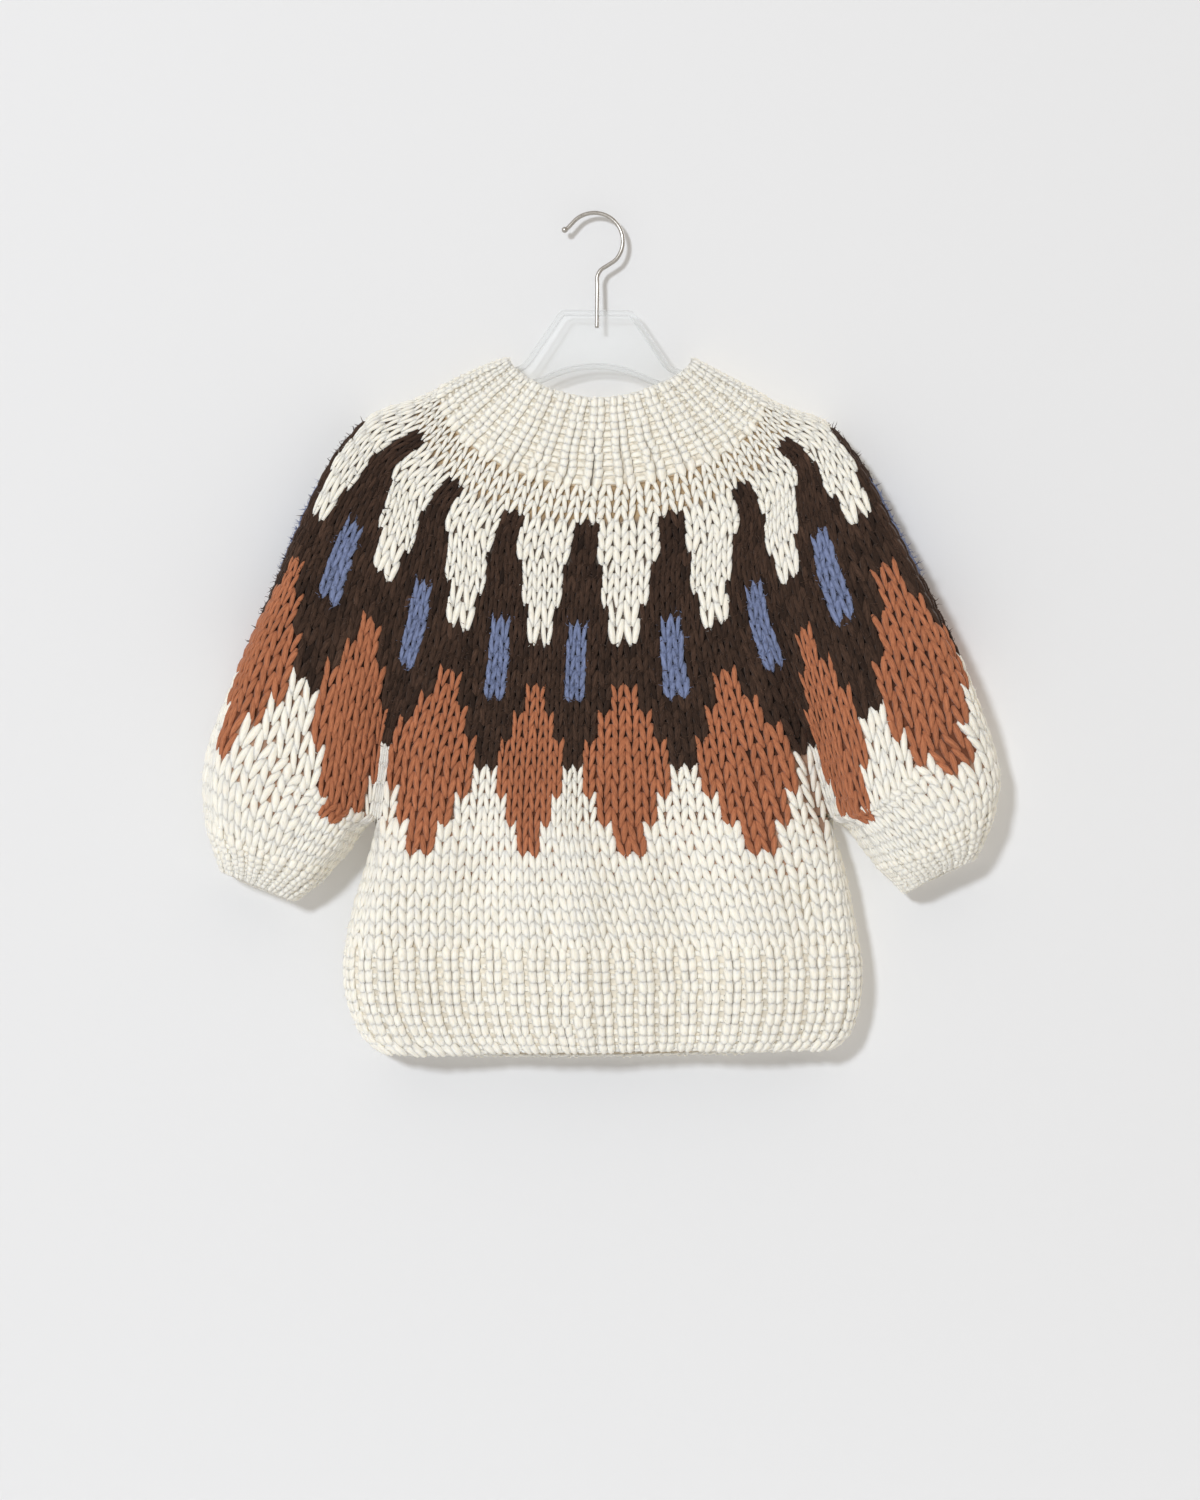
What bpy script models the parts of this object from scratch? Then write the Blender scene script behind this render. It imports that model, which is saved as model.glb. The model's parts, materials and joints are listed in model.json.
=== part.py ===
"""A hand-knitted jacquard sweater hanging from a clear hanger.

The sweater is knitted in the round from the neck down: a ribbed neckband, a
round yoke, then three tubes, the body and two sleeves, each closed by a rib.
Every piece is a wall of chunky knit between an outer and an inner surface.

The frame: X runs across the sweater, Y away from the viewer and Z up. The
origin is the underside of the hook's crown, where a nail or a rail holds it.
Rings of knitting are counted in rows from the top of the yoke, downwards.
Round a ring, the angle is 0 at the centre front, 90 and -90 degrees at the
folded edges and 180 degrees at the centre back.
"""

import math
from collections import namedtuple

import bmesh
import bpy
import numpy as np

COLLECTION = "jacquard_sweater"
MM = 0.001

# The knitting
WALL = 5.5 * MM
YOKE_COLUMNS = 128
BODY_COLUMNS = 72
SLEEVE_COLUMNS = 36
STITCH_TURN = 360.0 / YOKE_COLUMNS
GUSSET_COLUMNS = 4
SEAM_ROWS = 0.016
ROW_STEP = 0.05
UNDERARM_DROP = 2.5 * MM
CORNER_NUDGE = 0.6 * MM
GUSSET_LEAN = 0.4 * MM
LEAD_ROWS = 2.0

# Rows where one piece ends and the next begins
NECK_EDGE_ROW = -11.0
YOKE_TOP_ROW = 0.0
UNDERARM_ROW = 23.0
HEM_TOP_ROW = 32.0
HEM_EDGE_ROW = 41.0
CUFF_TOP_ROW = 29.0
CUFF_EDGE_ROW = 35.0

# The folded edges lie in one plane, a little in front of the hook
FOLD_Y = -12.0 * MM
CREASE_ANGLE = 45.0
CREASE_WIDTH = 9.0
BACK_CREASE_SHARE = 0.35
RIGHT_PIT_WIDTH = 20.0
SLEEVE_BLEND_WIDTH = 28.0
CROWN_SHARE = 0.18
WIDEST_NOSE = 0.48

# Ribs: 32 round the neck, 52 round the hem and 18 round each cuff
NECK_RIB_COLUMNS = 4
TUBE_RIB_COLUMNS = 2
HEM_COLUMNS = 104
RIB_HEIGHT = 1.1 * MM
SEAM_RIB_SHARE = 0.3

# Each ring of the neckband and yoke, in millimetres: its centre front, how far
# the two folded edges reach sideways and rise above it, how sharply the ring
# bends up, the degrees that it turns while it rises and while it reaches, the
# depths of the body's front, the sleeves' front and the back, how deep the
# creases between body and sleeves are, how far out the right crease lies, and
# the width of the rounding at the folded edges.
Ring = namedtuple(
    "Ring",
    "row mid_x mid_z left_reach left_rise right_reach right_rise"
    " bend rise_turn reach_turn body sleeve back crease right_pit nose",
)
YOKE_RINGS = (
    Ring(-11.0, 0.0, -161.7, 78.3, 38.7, 82.6, 38.0, 1.8, 60, 88, 20, 13, 13, 0, 0, 12),
    Ring(-5.5, -2.6, -198.7, 104.0, 64.5, 117.0, 57.6, 2.0, 60, 92, 21, 13, 13, 0, 0, 12),
    Ring(0.0, -5.2, -236.5, 130.7, 87.7, 148.8, 80.0, 2.0, 60, 95, 20, 13, 14, 0, 0, 12),
    Ring(3.0, -10.3, -269.2, 149.6, 110.1, 177.0, 102.3, 2.2, 60, 93, 20, 14, 14, 0, 0, 13),
    Ring(5.0, -12.9, -293.3, 178.9, 123.0, 205.5, 117.0, 2.4, 65, 85, 21, 15, 15, 0, 0, 14),
    Ring(7.5, -14.6, -324.2, 207.3, 123.8, 233.0, 122.0, 2.7, 72, 70, 24, 20, 16, 0, 0, 17),
    Ring(12.0, -18.0, -386.1, 240.8, 113.5, 273.5, 117.8, 3.2, 88, 60, 30, 31, 17, 3, 2, 22),
    Ring(16.0, -18.0, -433.4, 261.4, 109.2, 305.3, 102.3, 4.2, 90, 56, 35, 41, 18, 12, 5, 26),
    Ring(20.0, -17.5, -481.6, 284.7, 105.8, 330.2, 95.5, 6.0, 90, 52, 38, 48, 19, 24, 12, 29),
    Ring(23.0, -18.0, -518.6, 300.0, 104.0, 345.7, 94.6, 10.0, 90, 48, 40, 50, 19, 32, 20, 30),
)

# Each section of a tube, in millimetres: the two folded edges, how far the
# front sags below the line between them, the depths of the front and the back,
# how far the back hangs below the front, and the width of the edges' rounding.
Section = namedtuple(
    "Section",
    "row first_x first_z second_x second_z sag front back back_drop nose",
)
BODY_SECTIONS = (
    Section(26.0, -198.5, -556.0, 209.5, -553.0, 4, 42, 18, 0, 28),
    Section(29.0, -209.5, -592.0, 217.0, -589.0, 3, 43, 18, 0, 28),
    Section(32.0, -216.5, -627.0, 223.5, -625.0, 2, 43, 18, 0, 28),
    Section(35.0, -217.5, -658.5, 226.0, -656.5, 2, 42, 18, 1, 28),
    Section(38.0, -210.0, -689.5, 221.5, -687.5, 2, 40, 17, 3, 27),
    Section(40.0, -198.0, -709.5, 213.5, -706.0, 1, 37, 17, 5, 25),
    Section(41.0, -187.0, -718.5, 205.0, -714.0, -1, 34, 16, 7, 22),
)
LEFT_SLEEVE_SECTIONS = (
    Section(25.0, -332.0, -449.0, -201.5, -531.0, 3, 51, 18, 0, 30),
    Section(27.0, -339.0, -485.0, -212.5, -547.5, 4, 49, 18, 0, 30),
    Section(29.0, -336.5, -519.0, -226.5, -562.5, 5, 45, 17, 0, 27),
    Section(32.0, -330.0, -543.5, -242.0, -577.5, 4, 34, 14, 0, 21),
    Section(35.0, -324.5, -562.5, -258.0, -589.5, -1, 25, 12, 3, 15),
)
RIGHT_SLEEVE_SECTIONS = (
    Section(25.0, 337.0, -449.5, 212.5, -527.5, 3, 51, 18, 0, 30),
    Section(27.0, 344.5, -482.0, 225.5, -544.5, 4, 49, 18, 0, 30),
    Section(29.0, 341.0, -508.0, 236.5, -558.5, 5, 45, 17, 0, 27),
    Section(32.0, 333.0, -534.0, 250.0, -571.5, 4, 34, 14, 0, 21),
    Section(35.0, 324.0, -553.5, 260.0, -583.0, -3, 25, 12, 3, 15),
)

# Soft folds that hang down the front of the yoke and body: the column of the
# body at the fold's middle, its half width in columns, its height in
# millimetres (a trough below zero) and the rows where it begins and is full.
Fold = namedtuple("Fold", "column width height begins full")
BODY_FOLDS = (
    Fold(3.5, 2.0, 2.5, 22.0, 30.0),
    Fold(9.5, 1.8, -3.5, 16.0, 27.0),
    Fold(13.0, 1.6, 2.0, 14.0, 26.0),
    Fold(16.4, 1.5, 4.5, 13.0, 25.0),
    Fold(23.2, 2.0, -4.0, 15.0, 26.0),
    Fold(28.0, 2.2, 2.5, 17.0, 27.0),
    Fold(32.5, 1.8, -3.0, 20.0, 28.0),
    Fold(45.0, 2.5, -3.0, 18.0, 28.0),
    Fold(54.5, 2.2, 2.0, 16.0, 27.0),
    Fold(63.0, 2.4, -3.0, 18.0, 28.0),
)
HEM_FOLD_LOSS = 0.6
SIDE_FADE_COLUMNS = 3.0

# The hanger, in millimetres, seen from the front and the same on both sides
HANGER_TILT = math.radians(3.9)
HANGER_ROLL = math.radians(0.55)
HANGER_HALF_THICKNESS = 4.0
HANGER_EDGE_ROUND = 1.0
HANGER_TOP = -83.0
HANGER_TOP_HALF = 31.0
HANGER_SHOULDER = (63.0, -131.0)
HANGER_ARM_RISE = (107.0, -145.2)
HANGER_ARM_MIDDLE = (150.0, -166.3)
HANGER_ARM_REACH = (187.0, -183.2)
HANGER_END = (199.0, -193.0)
HANGER_END_UNDER = (193.0, -203.0)
HANGER_ARM_UNDER = (118.0, -170.0)
HANGER_ARCH_FOOT = (45.0, -146.0)
HANGER_ARCH_TOP = -134.0
HANGER_ARCH_POINTS = 9

# The hook, in millimetres: a round wire bent in one plane
WIRE_RADIUS = 1.8
WIRE_CLEARANCE = 0.3
HOOK_RADIUS = 24.6
HOOK_CENTRE_X = -3.0
HOOK_FREE_ANGLE = 128.0
HOOK_THROAT_ANGLE = -40.0
HOOK_ARC_POINTS = 14
HOOK_FREE_END = ((-31.0, -14.3), (-26.8, -12.3), (-22.8, -8.2))
HOOK_STEM = ((9.1, -43.6), (2.6, -48.2), (0.0, -53.5), (0.0, -61.0), (0.0, -98.0))
SOCKET_FOOT = -98.3
SOCKET_MOUTH_ROOM = 10.0
SOCKET_SIDES = 16


def clear_scene():
    """Removes what the new file starts with."""
    for item in list(bpy.data.objects):
        bpy.data.objects.remove(item, do_unlink=True)


def material(name, colour, roughness, metallic=0.0, transmission=0.0):
    """A Principled material of one colour."""
    made = bpy.data.materials.new(name)
    made.use_nodes = True
    shader = made.node_tree.nodes["Principled BSDF"]
    shader.inputs["Base Color"].default_value = (*colour, 1.0)
    shader.inputs["Roughness"].default_value = roughness
    shader.inputs["Metallic"].default_value = metallic
    shader.inputs["Transmission Weight"].default_value = transmission
    made.diffuse_color = (*colour, 1.0)
    return made


def hermite(knots, values, at):
    """Smooth values at the given knots, through the known ones."""
    knots = np.asarray(knots, float)
    values = np.asarray(values, float)
    slopes = np.gradient(values, knots, axis=0)
    at = np.atleast_1d(np.asarray(at, float))
    cell = np.clip(np.searchsorted(knots, at) - 1, 0, len(knots) - 2)
    span = knots[cell + 1] - knots[cell]
    share = (at - knots[cell]) / span
    shape = (-1,) + (1,) * (values.ndim - 1)
    share, span = share.reshape(shape), span.reshape(shape)
    return (
        (2 * share**3 - 3 * share**2 + 1) * values[cell]
        + (share**3 - 2 * share**2 + share) * span * slopes[cell]
        + (3 * share**2 - 2 * share**3) * values[cell + 1]
        + (share**3 - share**2) * span * slopes[cell + 1]
    )


def smooth_step(value):
    """0 below 0, 1 above 1 and a smooth rise between."""
    value = np.clip(value, 0.0, 1.0)
    return value * value * (3.0 - 2.0 * value)


def fold_relief(column, row):
    """How far the soft folds move the cloth outwards, in metres."""
    total = 0.0
    for fold in BODY_FOLDS:
        away = np.abs(column - fold.column)
        away = np.minimum(away, BODY_COLUMNS - away)
        grown = smooth_step((row - fold.begins) / (fold.full - fold.begins))
        total = total + fold.height * MM * grown * np.exp(-((away / fold.width) ** 2))
    in_hem = smooth_step((row - HEM_TOP_ROW) / (HEM_EDGE_ROW - HEM_TOP_ROW))
    return total * (1.0 - HEM_FOLD_LOSS * in_hem)


def rounded_edge(arc, nose):
    """Distance from the folded edge, and share of the depth, at an arc length from it.

    The edge is a quarter of a circle of the nose's radius, then runs straight.
    """
    quarter = 0.5 * math.pi * nose
    turn = np.clip(arc / nose, 0.0, 0.5 * math.pi)
    across = nose * (1.0 - np.cos(turn)) + np.maximum(arc - quarter, 0.0)
    return across, np.sin(turn)


def ring_values(row):
    """The ring's sizes at a row, by name."""
    knots = [ring.row for ring in YOKE_RINGS]
    table = hermite(knots, [ring[1:] for ring in YOKE_RINGS], row)[0]
    return Ring(row, *table)


def yoke_points(angle, row):
    """Points on the outer surface of the neckband and yoke, round one row.

    Args:
        angle: Degrees round the ring, 0 at the centre front.
        row: Rows below the top of the yoke.

    Returns:
        Points in metres, one for each angle.
    """
    ring = ring_values(row)
    angle = (np.asarray(angle, float) + 180.0) % 360.0 - 180.0
    side = np.where(angle < 0.0, -1.0, 1.0)
    front = np.abs(angle) <= 90.0
    flat = np.where(front, np.abs(angle), 180.0 - np.abs(angle))
    reach = np.where(side < 0.0, ring.left_reach, ring.right_reach)
    rise = np.where(side < 0.0, ring.left_rise, ring.right_rise)
    length = np.hypot(reach, rise)
    nose = ring.nose
    arc = (1.0 - flat / 90.0) * (length + (0.5 * math.pi - 1.0) * nose)
    across, fullness = rounded_edge(arc, nose)
    share = 1.0 - across / length
    reach_turn, rise_turn = math.radians(ring.reach_turn), math.radians(ring.rise_turn)
    out = np.sin(reach_turn * share) / math.sin(reach_turn)
    pit = np.exp(-(((flat - CREASE_ANGLE) / RIGHT_PIT_WIDTH) ** 2)) * ring.right_pit
    out_mm = reach * out + np.where(side > 0.0, pit * fullness, 0.0)
    up_mm = rise * (np.sin(rise_turn * np.clip(share, 0.0, 1.0)) / math.sin(rise_turn)) ** ring.bend
    blend = smooth_step((flat - CREASE_ANGLE) / SLEEVE_BLEND_WIDTH + 0.5)
    crease = ring.crease * np.exp(-(((flat - CREASE_ANGLE) / CREASE_WIDTH) ** 2))
    front_mm = (ring.body + (ring.sleeve - ring.body) * blend) * fullness - crease
    back_mm = ring.back * fullness - BACK_CREASE_SHARE * crease
    column = np.where(front, angle / STITCH_TURN + 18.0, (angle % 360.0 - 180.0) / STITCH_TURN + 54.0)
    relief = fold_relief(column, row) * fullness
    depth = np.where(front, -front_mm * MM - relief, back_mm * MM + relief)
    return np.stack(
        [
            (ring.mid_x + side * out_mm) * MM,
            FOLD_Y + depth,
            (ring.mid_z + up_mm) * MM,
        ],
        axis=-1,
    )


def tube_points(section, columns):
    """One closed section of a tube, a point for each column.

    Column 0 is the first folded edge. The front runs to the second one, at half
    the columns, and the back returns.
    """
    half = columns // 2
    index = np.arange(columns)
    front = index <= half
    share = np.where(front, index / half, (columns - index) / half)
    first = np.array([section.first_x, section.first_z])
    second = np.array([section.second_x, section.second_z])
    length = float(np.hypot(*(second - first)))
    nose = min(section.nose, WIDEST_NOSE * length)
    arc = share * (length + (math.pi - 2.0) * nose)
    total = length + (math.pi - 2.0) * nose
    near_first = share <= 0.5
    across, fullness = rounded_edge(np.where(near_first, arc, total - arc), nose)
    along = np.where(near_first, across, length - across) / length
    crown = np.sin(math.pi * np.clip(along, 0.0, 1.0))
    fullness = (1.0 - CROWN_SHARE) * fullness + CROWN_SHARE * crown
    depth = np.where(front, -section.front, section.back) * fullness
    drop = section.sag * crown + np.where(front, 0.0, section.back_drop) * crown
    place = first + (second - first) * along[:, None]
    return np.stack(
        [place[:, 0] * MM, FOLD_Y + depth * MM, (place[:, 1] - drop) * MM], axis=-1
    )


def angles_of_body():
    """The yoke's angle at each of the body's columns, apart from the gussets."""
    column = np.arange(BODY_COLUMNS)
    return np.where(column <= 36, (column - 18) * STITCH_TURN, 180.0 + (column - 54) * STITCH_TURN)


def angles_of_sleeve(side):
    """The yoke's angle at each of a sleeve's columns, apart from the gusset."""
    column = np.arange(SLEEVE_COLUMNS)
    front = 90.0 - STITCH_TURN * column
    back = 90.0 + STITCH_TURN * (SLEEVE_COLUMNS - column)
    return side * np.where(column <= SLEEVE_COLUMNS // 2, front, back)


def gusset_middles(columns):
    """The columns at the middle of each underarm gusset of a tube."""
    return (0, BODY_COLUMNS // 2) if columns == BODY_COLUMNS else (SLEEVE_COLUMNS // 2,)


def bridge_gusset(points, middle, pull):
    """Carries a ring across the underarm, from the front pit to the back one.

    Args:
        points: The ring, changed in place.
        middle: The column at the gusset's middle.
        pull: How far the middle leans sideways, in metres.
    """
    count = len(points)
    half = GUSSET_COLUMNS // 2
    start = points[(middle - half) % count].copy()
    end = points[(middle + half) % count].copy()
    for step in range(1, GUSSET_COLUMNS):
        share = step / GUSSET_COLUMNS
        lean = math.sin(math.pi * share)
        place = start + (end - start) * share
        place[0] += pull * lean
        points[(middle - half + step) % count] = place


def tube_start(angles, row, pulls):
    """The ring where a tube leaves the yoke, with its gussets bridged.

    The corners beside each gusset stand a little into the tube, and the gusset
    hangs a little lower, so that the tubes stay clear of each other and the yoke.
    """
    points = yoke_points(angles, row)
    half = GUSSET_COLUMNS // 2
    count = len(angles)
    for middle, pull in zip(gusset_middles(count), pulls):
        for corner, inward in ((middle - half, -1), (middle + half, 1)):
            column = corner % count
            nudged = angles[(corner + inward) % count]
            toward = yoke_points(np.array([nudged]), row)[0] - points[column]
            points[column] += toward * (CORNER_NUDGE / np.linalg.norm(toward))
        bridge_gusset(points, middle, pull)
        for step in range(-half, half + 1):
            points[(middle + step) % count, 2] -= UNDERARM_DROP
    return points


def tube_grid(angles, sections, rows, pulls):
    """A tube's outer surface at the given rows: a loft from the yoke's last row."""
    starts = (UNDERARM_ROW - LEAD_ROWS, UNDERARM_ROW)
    knots = [*starts, *(section.row for section in sections)]
    rings = [tube_start(angles, row, pulls) for row in starts]
    for section in sections:
        ring = tube_points(section, len(angles))
        if len(angles) == BODY_COLUMNS:
            column = np.arange(BODY_COLUMNS)
            away = np.minimum(column, np.abs(column - BODY_COLUMNS // 2))
            away = np.minimum(away, BODY_COLUMNS - column)
            ring[:, 1] += (
                np.where(column <= BODY_COLUMNS // 2, -1.0, 1.0)
                * fold_relief(column, section.row)
                * smooth_step(away / SIDE_FADE_COLUMNS)
            )
        rings.append(ring)
    return hermite(knots, rings, rows)


def with_columns(grid, columns):
    """The same closed rings read at another number of columns, along smooth curves."""
    count = grid.shape[1]
    index = np.arange(-2, count + 3)
    padded = np.take(grid, index, axis=1, mode="wrap")
    places = np.arange(columns) * count / columns
    return hermite(index, padded.swapaxes(0, 1), places).swapaxes(0, 1)


def yoke_grid(rows):
    """The neckband's and yoke's outer surface at the given rows."""
    angles = np.arange(YOKE_COLUMNS) * STITCH_TURN
    return np.stack([yoke_points(angles, row) for row in rows])


def row_normals(above, ring, below, outward):
    """Unit normals round one row of a surface, from the rows just above and below."""
    along = np.roll(ring, -1, axis=0) - np.roll(ring, 1, axis=0)
    normal = np.cross(below - above, along) * outward
    return normal / np.linalg.norm(normal, axis=1, keepdims=True)


def surface_normals(grid_of, rows, outward):
    """Unit normals of a surface of closed rows, from its slopes at each row."""
    return np.stack(
        [
            row_normals(*grid_of([row - ROW_STEP, row, row + ROW_STEP]), outward)
            for row in rows
        ]
    )


def underarm_normals(angles, normals, outward):
    """The normals where a tube leaves the yoke: the yoke's own, level at the gussets."""
    row = UNDERARM_ROW
    above, ring, below = (
        yoke_points(angles, near) for near in (row - ROW_STEP, row, row + ROW_STEP)
    )
    shared = row_normals(above, ring, below, outward)
    count = len(angles)
    half = GUSSET_COLUMNS // 2
    for middle in gusset_middles(count):
        for step in range(-half, half + 1):
            column = (middle + step) % count
            level = normals[column] * (1.0, 1.0, 0.0)
            shared[column] = level / np.linalg.norm(level)
    return shared


def rib_relief(rows, columns, period, seams):
    """The height of the ribs at each row and column, less at a seam with plain knit."""
    wave = np.cos(2.0 * math.pi * np.arange(columns) / period) * RIB_HEIGHT
    strength = np.ones(len(rows))
    for index in seams:
        strength[index] = SEAM_RIB_SHARE
    return strength[:, None] * wave[None, :]


def wall_object(name, outer, inner, outward, finish, group):
    """A closed wall between two grids of the same rows and columns."""
    rows, columns, _ = outer.shape
    points = np.concatenate([outer.reshape(-1, 3), inner.reshape(-1, 3)])
    index = np.arange(rows * columns * 2).reshape(2, rows, columns)
    faces = []
    for layer, flip in ((0, outward < 0), (1, outward > 0)):
        here = index[layer]
        after = np.roll(here, -1, axis=1)
        quads = np.stack([here[:-1], here[1:], after[1:], after[:-1]], axis=-1)
        quads = quads.reshape(-1, 4)
        faces += (quads[:, ::-1] if flip else quads).tolist()
    # Facing edges of two pieces are split along the same diagonals, so they can't cross.
    turn = -1 if outward > 0 else 1
    for row, flip in ((0, outward > 0), (rows - 1, outward < 0)):
        outside, inside = index[0, row], index[1, row]
        next_outside, next_inside = np.roll(outside, turn), np.roll(inside, turn)
        corners = np.concatenate(
            [
                np.stack([outside, inside, next_inside], axis=-1),
                np.stack([outside, next_inside, next_outside], axis=-1),
            ]
        )
        faces += (corners[:, ::-1] if flip else corners).tolist()
    mesh = bpy.data.meshes.new(name)
    mesh.from_pydata(points.tolist(), [], faces)
    mesh.validate()
    check = bmesh.new()
    check.from_mesh(mesh)
    bmesh.ops.recalc_face_normals(check, faces=check.faces)
    check.to_mesh(mesh)
    check.free()
    mesh.shade_smooth()
    mesh.materials.append(finish)
    made = bpy.data.objects.new(name, mesh)
    group.objects.link(made)
    return made


def knit_piece(name, grid_of, rows, seams, outward, finish, group, ribs=None, angles=None):
    """One knitted piece: its outer surface, moved inwards for the inner one.

    Args:
        name: The object's name.
        grid_of: Gives the outer surface at a list of rows.
        rows: The piece's rows, from its top to its lower edge.
        seams: How far its first and last rows stand back from its neighbours, in rows.
        outward: 1 where the columns run anticlockwise seen from above, or -1.
        finish: The piece's material.
        group: The collection it goes in.
        ribs: How far each outer point is raised, if the piece is ribbed.
        angles: The yoke's angle at each column, if the piece starts at the underarm.
    """
    places = np.array(rows)
    places[0] += seams[0]
    places[-1] -= seams[1]
    outer = np.stack([grid_of([place])[0] for place in places])
    normals = surface_normals(grid_of, rows, outward)
    if angles is not None:
        normals[0] = underarm_normals(angles, normals[0], outward)
    inner = outer - normals * WALL
    if ribs is not None:
        outer = outer + normals * ribs[:, :, None]
    return wall_object(name, outer, inner, outward, finish, group)


def make_neckband(finish, group):
    """The ribbed band round the neck."""
    rows = (NECK_EDGE_ROW, -8.0, -4.0, YOKE_TOP_ROW)
    ribs = rib_relief(rows, YOKE_COLUMNS, NECK_RIB_COLUMNS, seams=(3,))
    return knit_piece("neckband", yoke_grid, rows, (0.0, SEAM_ROWS), 1.0, finish, group, ribs)


def make_yoke(finish, group):
    """The round yoke, front and back in one."""
    rows = (YOKE_TOP_ROW, 3.0, 5.0, 8.0, 12.0, 16.0, 20.0, UNDERARM_ROW)
    return knit_piece("yoke", yoke_grid, rows, (SEAM_ROWS, SEAM_ROWS), 1.0, finish, group)


def make_body(knit, rib, group):
    """The body's tube and its hem rib."""
    angles = angles_of_body()
    pulls = (GUSSET_LEAN, -GUSSET_LEAN)

    def grid_of(rows):
        return tube_grid(angles, BODY_SECTIONS, rows, pulls)

    rows = (UNDERARM_ROW, 24.5, 26.0, 29.0, HEM_TOP_ROW)
    seams = (SEAM_ROWS, SEAM_ROWS)
    knit_piece("body", grid_of, rows, seams, 1.0, knit, group, angles=angles)

    def hem_grid_of(rows):
        return with_columns(grid_of(rows), HEM_COLUMNS)

    rows = (HEM_TOP_ROW, 35.0, 38.0, 40.0, HEM_EDGE_ROW)
    ribs = rib_relief(rows, HEM_COLUMNS, TUBE_RIB_COLUMNS, seams=(0,))
    knit_piece("hem_rib", hem_grid_of, rows, (SEAM_ROWS, 0.0), 1.0, rib, group, ribs)


def make_sleeve(word, side, sections, knit, rib, group):
    """One puffed sleeve and its cuff rib."""
    angles = angles_of_sleeve(side)
    pulls = (side * GUSSET_LEAN,)

    def grid_of(rows):
        return tube_grid(angles, sections, rows, pulls)

    rows = (UNDERARM_ROW, 24.0, 25.5, 27.0, CUFF_TOP_ROW)
    seams = (SEAM_ROWS, SEAM_ROWS)
    knit_piece("sleeve_" + word, grid_of, rows, seams, -side, knit, group, angles=angles)
    rows = (CUFF_TOP_ROW, 31.0, 33.0, CUFF_EDGE_ROW)
    ribs = rib_relief(rows, SLEEVE_COLUMNS, TUBE_RIB_COLUMNS, seams=(0,))
    knit_piece("cuff_" + word, grid_of, rows, (SEAM_ROWS, 0.0), -side, rib, group, ribs)


def hanger_outline():
    """The hanger's outline as points (x, z) in millimetres, anticlockwise from the top right."""
    arch = []
    foot_x, foot_z = HANGER_ARCH_FOOT
    for step in range(HANGER_ARCH_POINTS):
        share = -1.0 + 2.0 * step / (HANGER_ARCH_POINTS - 1)
        arch.append((share * foot_x, foot_z + (HANGER_ARCH_TOP - foot_z) * (1.0 - share**2)))
    left_arm = [
        (-HANGER_TOP_HALF, HANGER_TOP),
        (-HANGER_SHOULDER[0], HANGER_SHOULDER[1]),
        (-HANGER_ARM_RISE[0], HANGER_ARM_RISE[1]),
        (-HANGER_ARM_MIDDLE[0], HANGER_ARM_MIDDLE[1]),
        (-HANGER_ARM_REACH[0], HANGER_ARM_REACH[1]),
        (-HANGER_END[0], HANGER_END[1]),
        (-HANGER_END_UNDER[0], HANGER_END_UNDER[1]),
        (-HANGER_ARM_UNDER[0], HANGER_ARM_UNDER[1]),
    ]
    right_arm = [(-x, z) for x, z in reversed(left_arm)]
    return left_arm + arch + right_arm


def make_hanger_pose(group):
    """The empty that carries the hanger: it leans out at the foot and hangs a little askew."""
    pose = bpy.data.objects.new("hanger_pose", None)
    pose.rotation_euler = (-HANGER_TILT, HANGER_ROLL, 0.0)
    group.objects.link(pose)
    return pose


def mesh_from_curve(curve_object, group):
    """The curve's shape as a mesh object with its caps welded on."""
    bpy.context.view_layer.update()
    graph = bpy.context.evaluated_depsgraph_get()
    mesh = bpy.data.meshes.new_from_object(curve_object.evaluated_get(graph))
    welded = bmesh.new()
    welded.from_mesh(mesh)
    bmesh.ops.remove_doubles(welded, verts=welded.verts, dist=0.00001)
    bmesh.ops.recalc_face_normals(welded, faces=welded.faces)
    welded.to_mesh(mesh)
    welded.free()
    made = bpy.data.objects.new(curve_object.name, mesh)
    made.parent = curve_object.parent
    made.rotation_euler = curve_object.rotation_euler
    name = curve_object.name
    bpy.data.objects.remove(curve_object, do_unlink=True)
    made.name = name
    group.objects.link(made)
    return made


def make_hanger_body(pose, finish, group, cutters):
    """The clear plate with two arms and a socket for the hook."""
    curve = bpy.data.curves.new("hanger_body", "CURVE")
    curve.dimensions = "2D"
    curve.fill_mode = "BOTH"
    curve.extrude = (HANGER_HALF_THICKNESS - HANGER_EDGE_ROUND) * MM
    curve.bevel_depth = HANGER_EDGE_ROUND * MM
    curve.bevel_resolution = 1
    outline = hanger_outline()
    spline = curve.splines.new("POLY")
    spline.points.add(len(outline) - 1)
    for point, (x, z) in zip(spline.points, outline):
        point.co = (x * MM, z * MM, 0.0, 1.0)
    spline.use_cyclic_u = True
    plate = bpy.data.objects.new("hanger_body", curve)
    plate.parent = pose
    plate.rotation_euler.x = 0.5 * math.pi
    group.objects.link(plate)
    plate = mesh_from_curve(plate, group)
    plate.data.materials.append(finish)

    length = (HANGER_TOP - SOCKET_FOOT + SOCKET_MOUTH_ROOM) * MM
    bpy.ops.mesh.primitive_cylinder_add(
        vertices=SOCKET_SIDES, radius=(WIRE_RADIUS + WIRE_CLEARANCE) * MM, depth=length
    )
    cutter = bpy.context.object
    cutter.name = "hook_socket_cutter"
    cutter.parent = pose
    cutter.location.z = SOCKET_FOOT * MM + 0.5 * length
    cutter.hide_render = True
    cutter.display_type = "WIRE"
    for owner in list(cutter.users_collection):
        owner.objects.unlink(cutter)
    cutters.objects.link(cutter)
    cut = plate.modifiers.new("hook socket", "BOOLEAN")
    cut.operation = "DIFFERENCE"
    cut.object = cutter
    return plate


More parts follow.
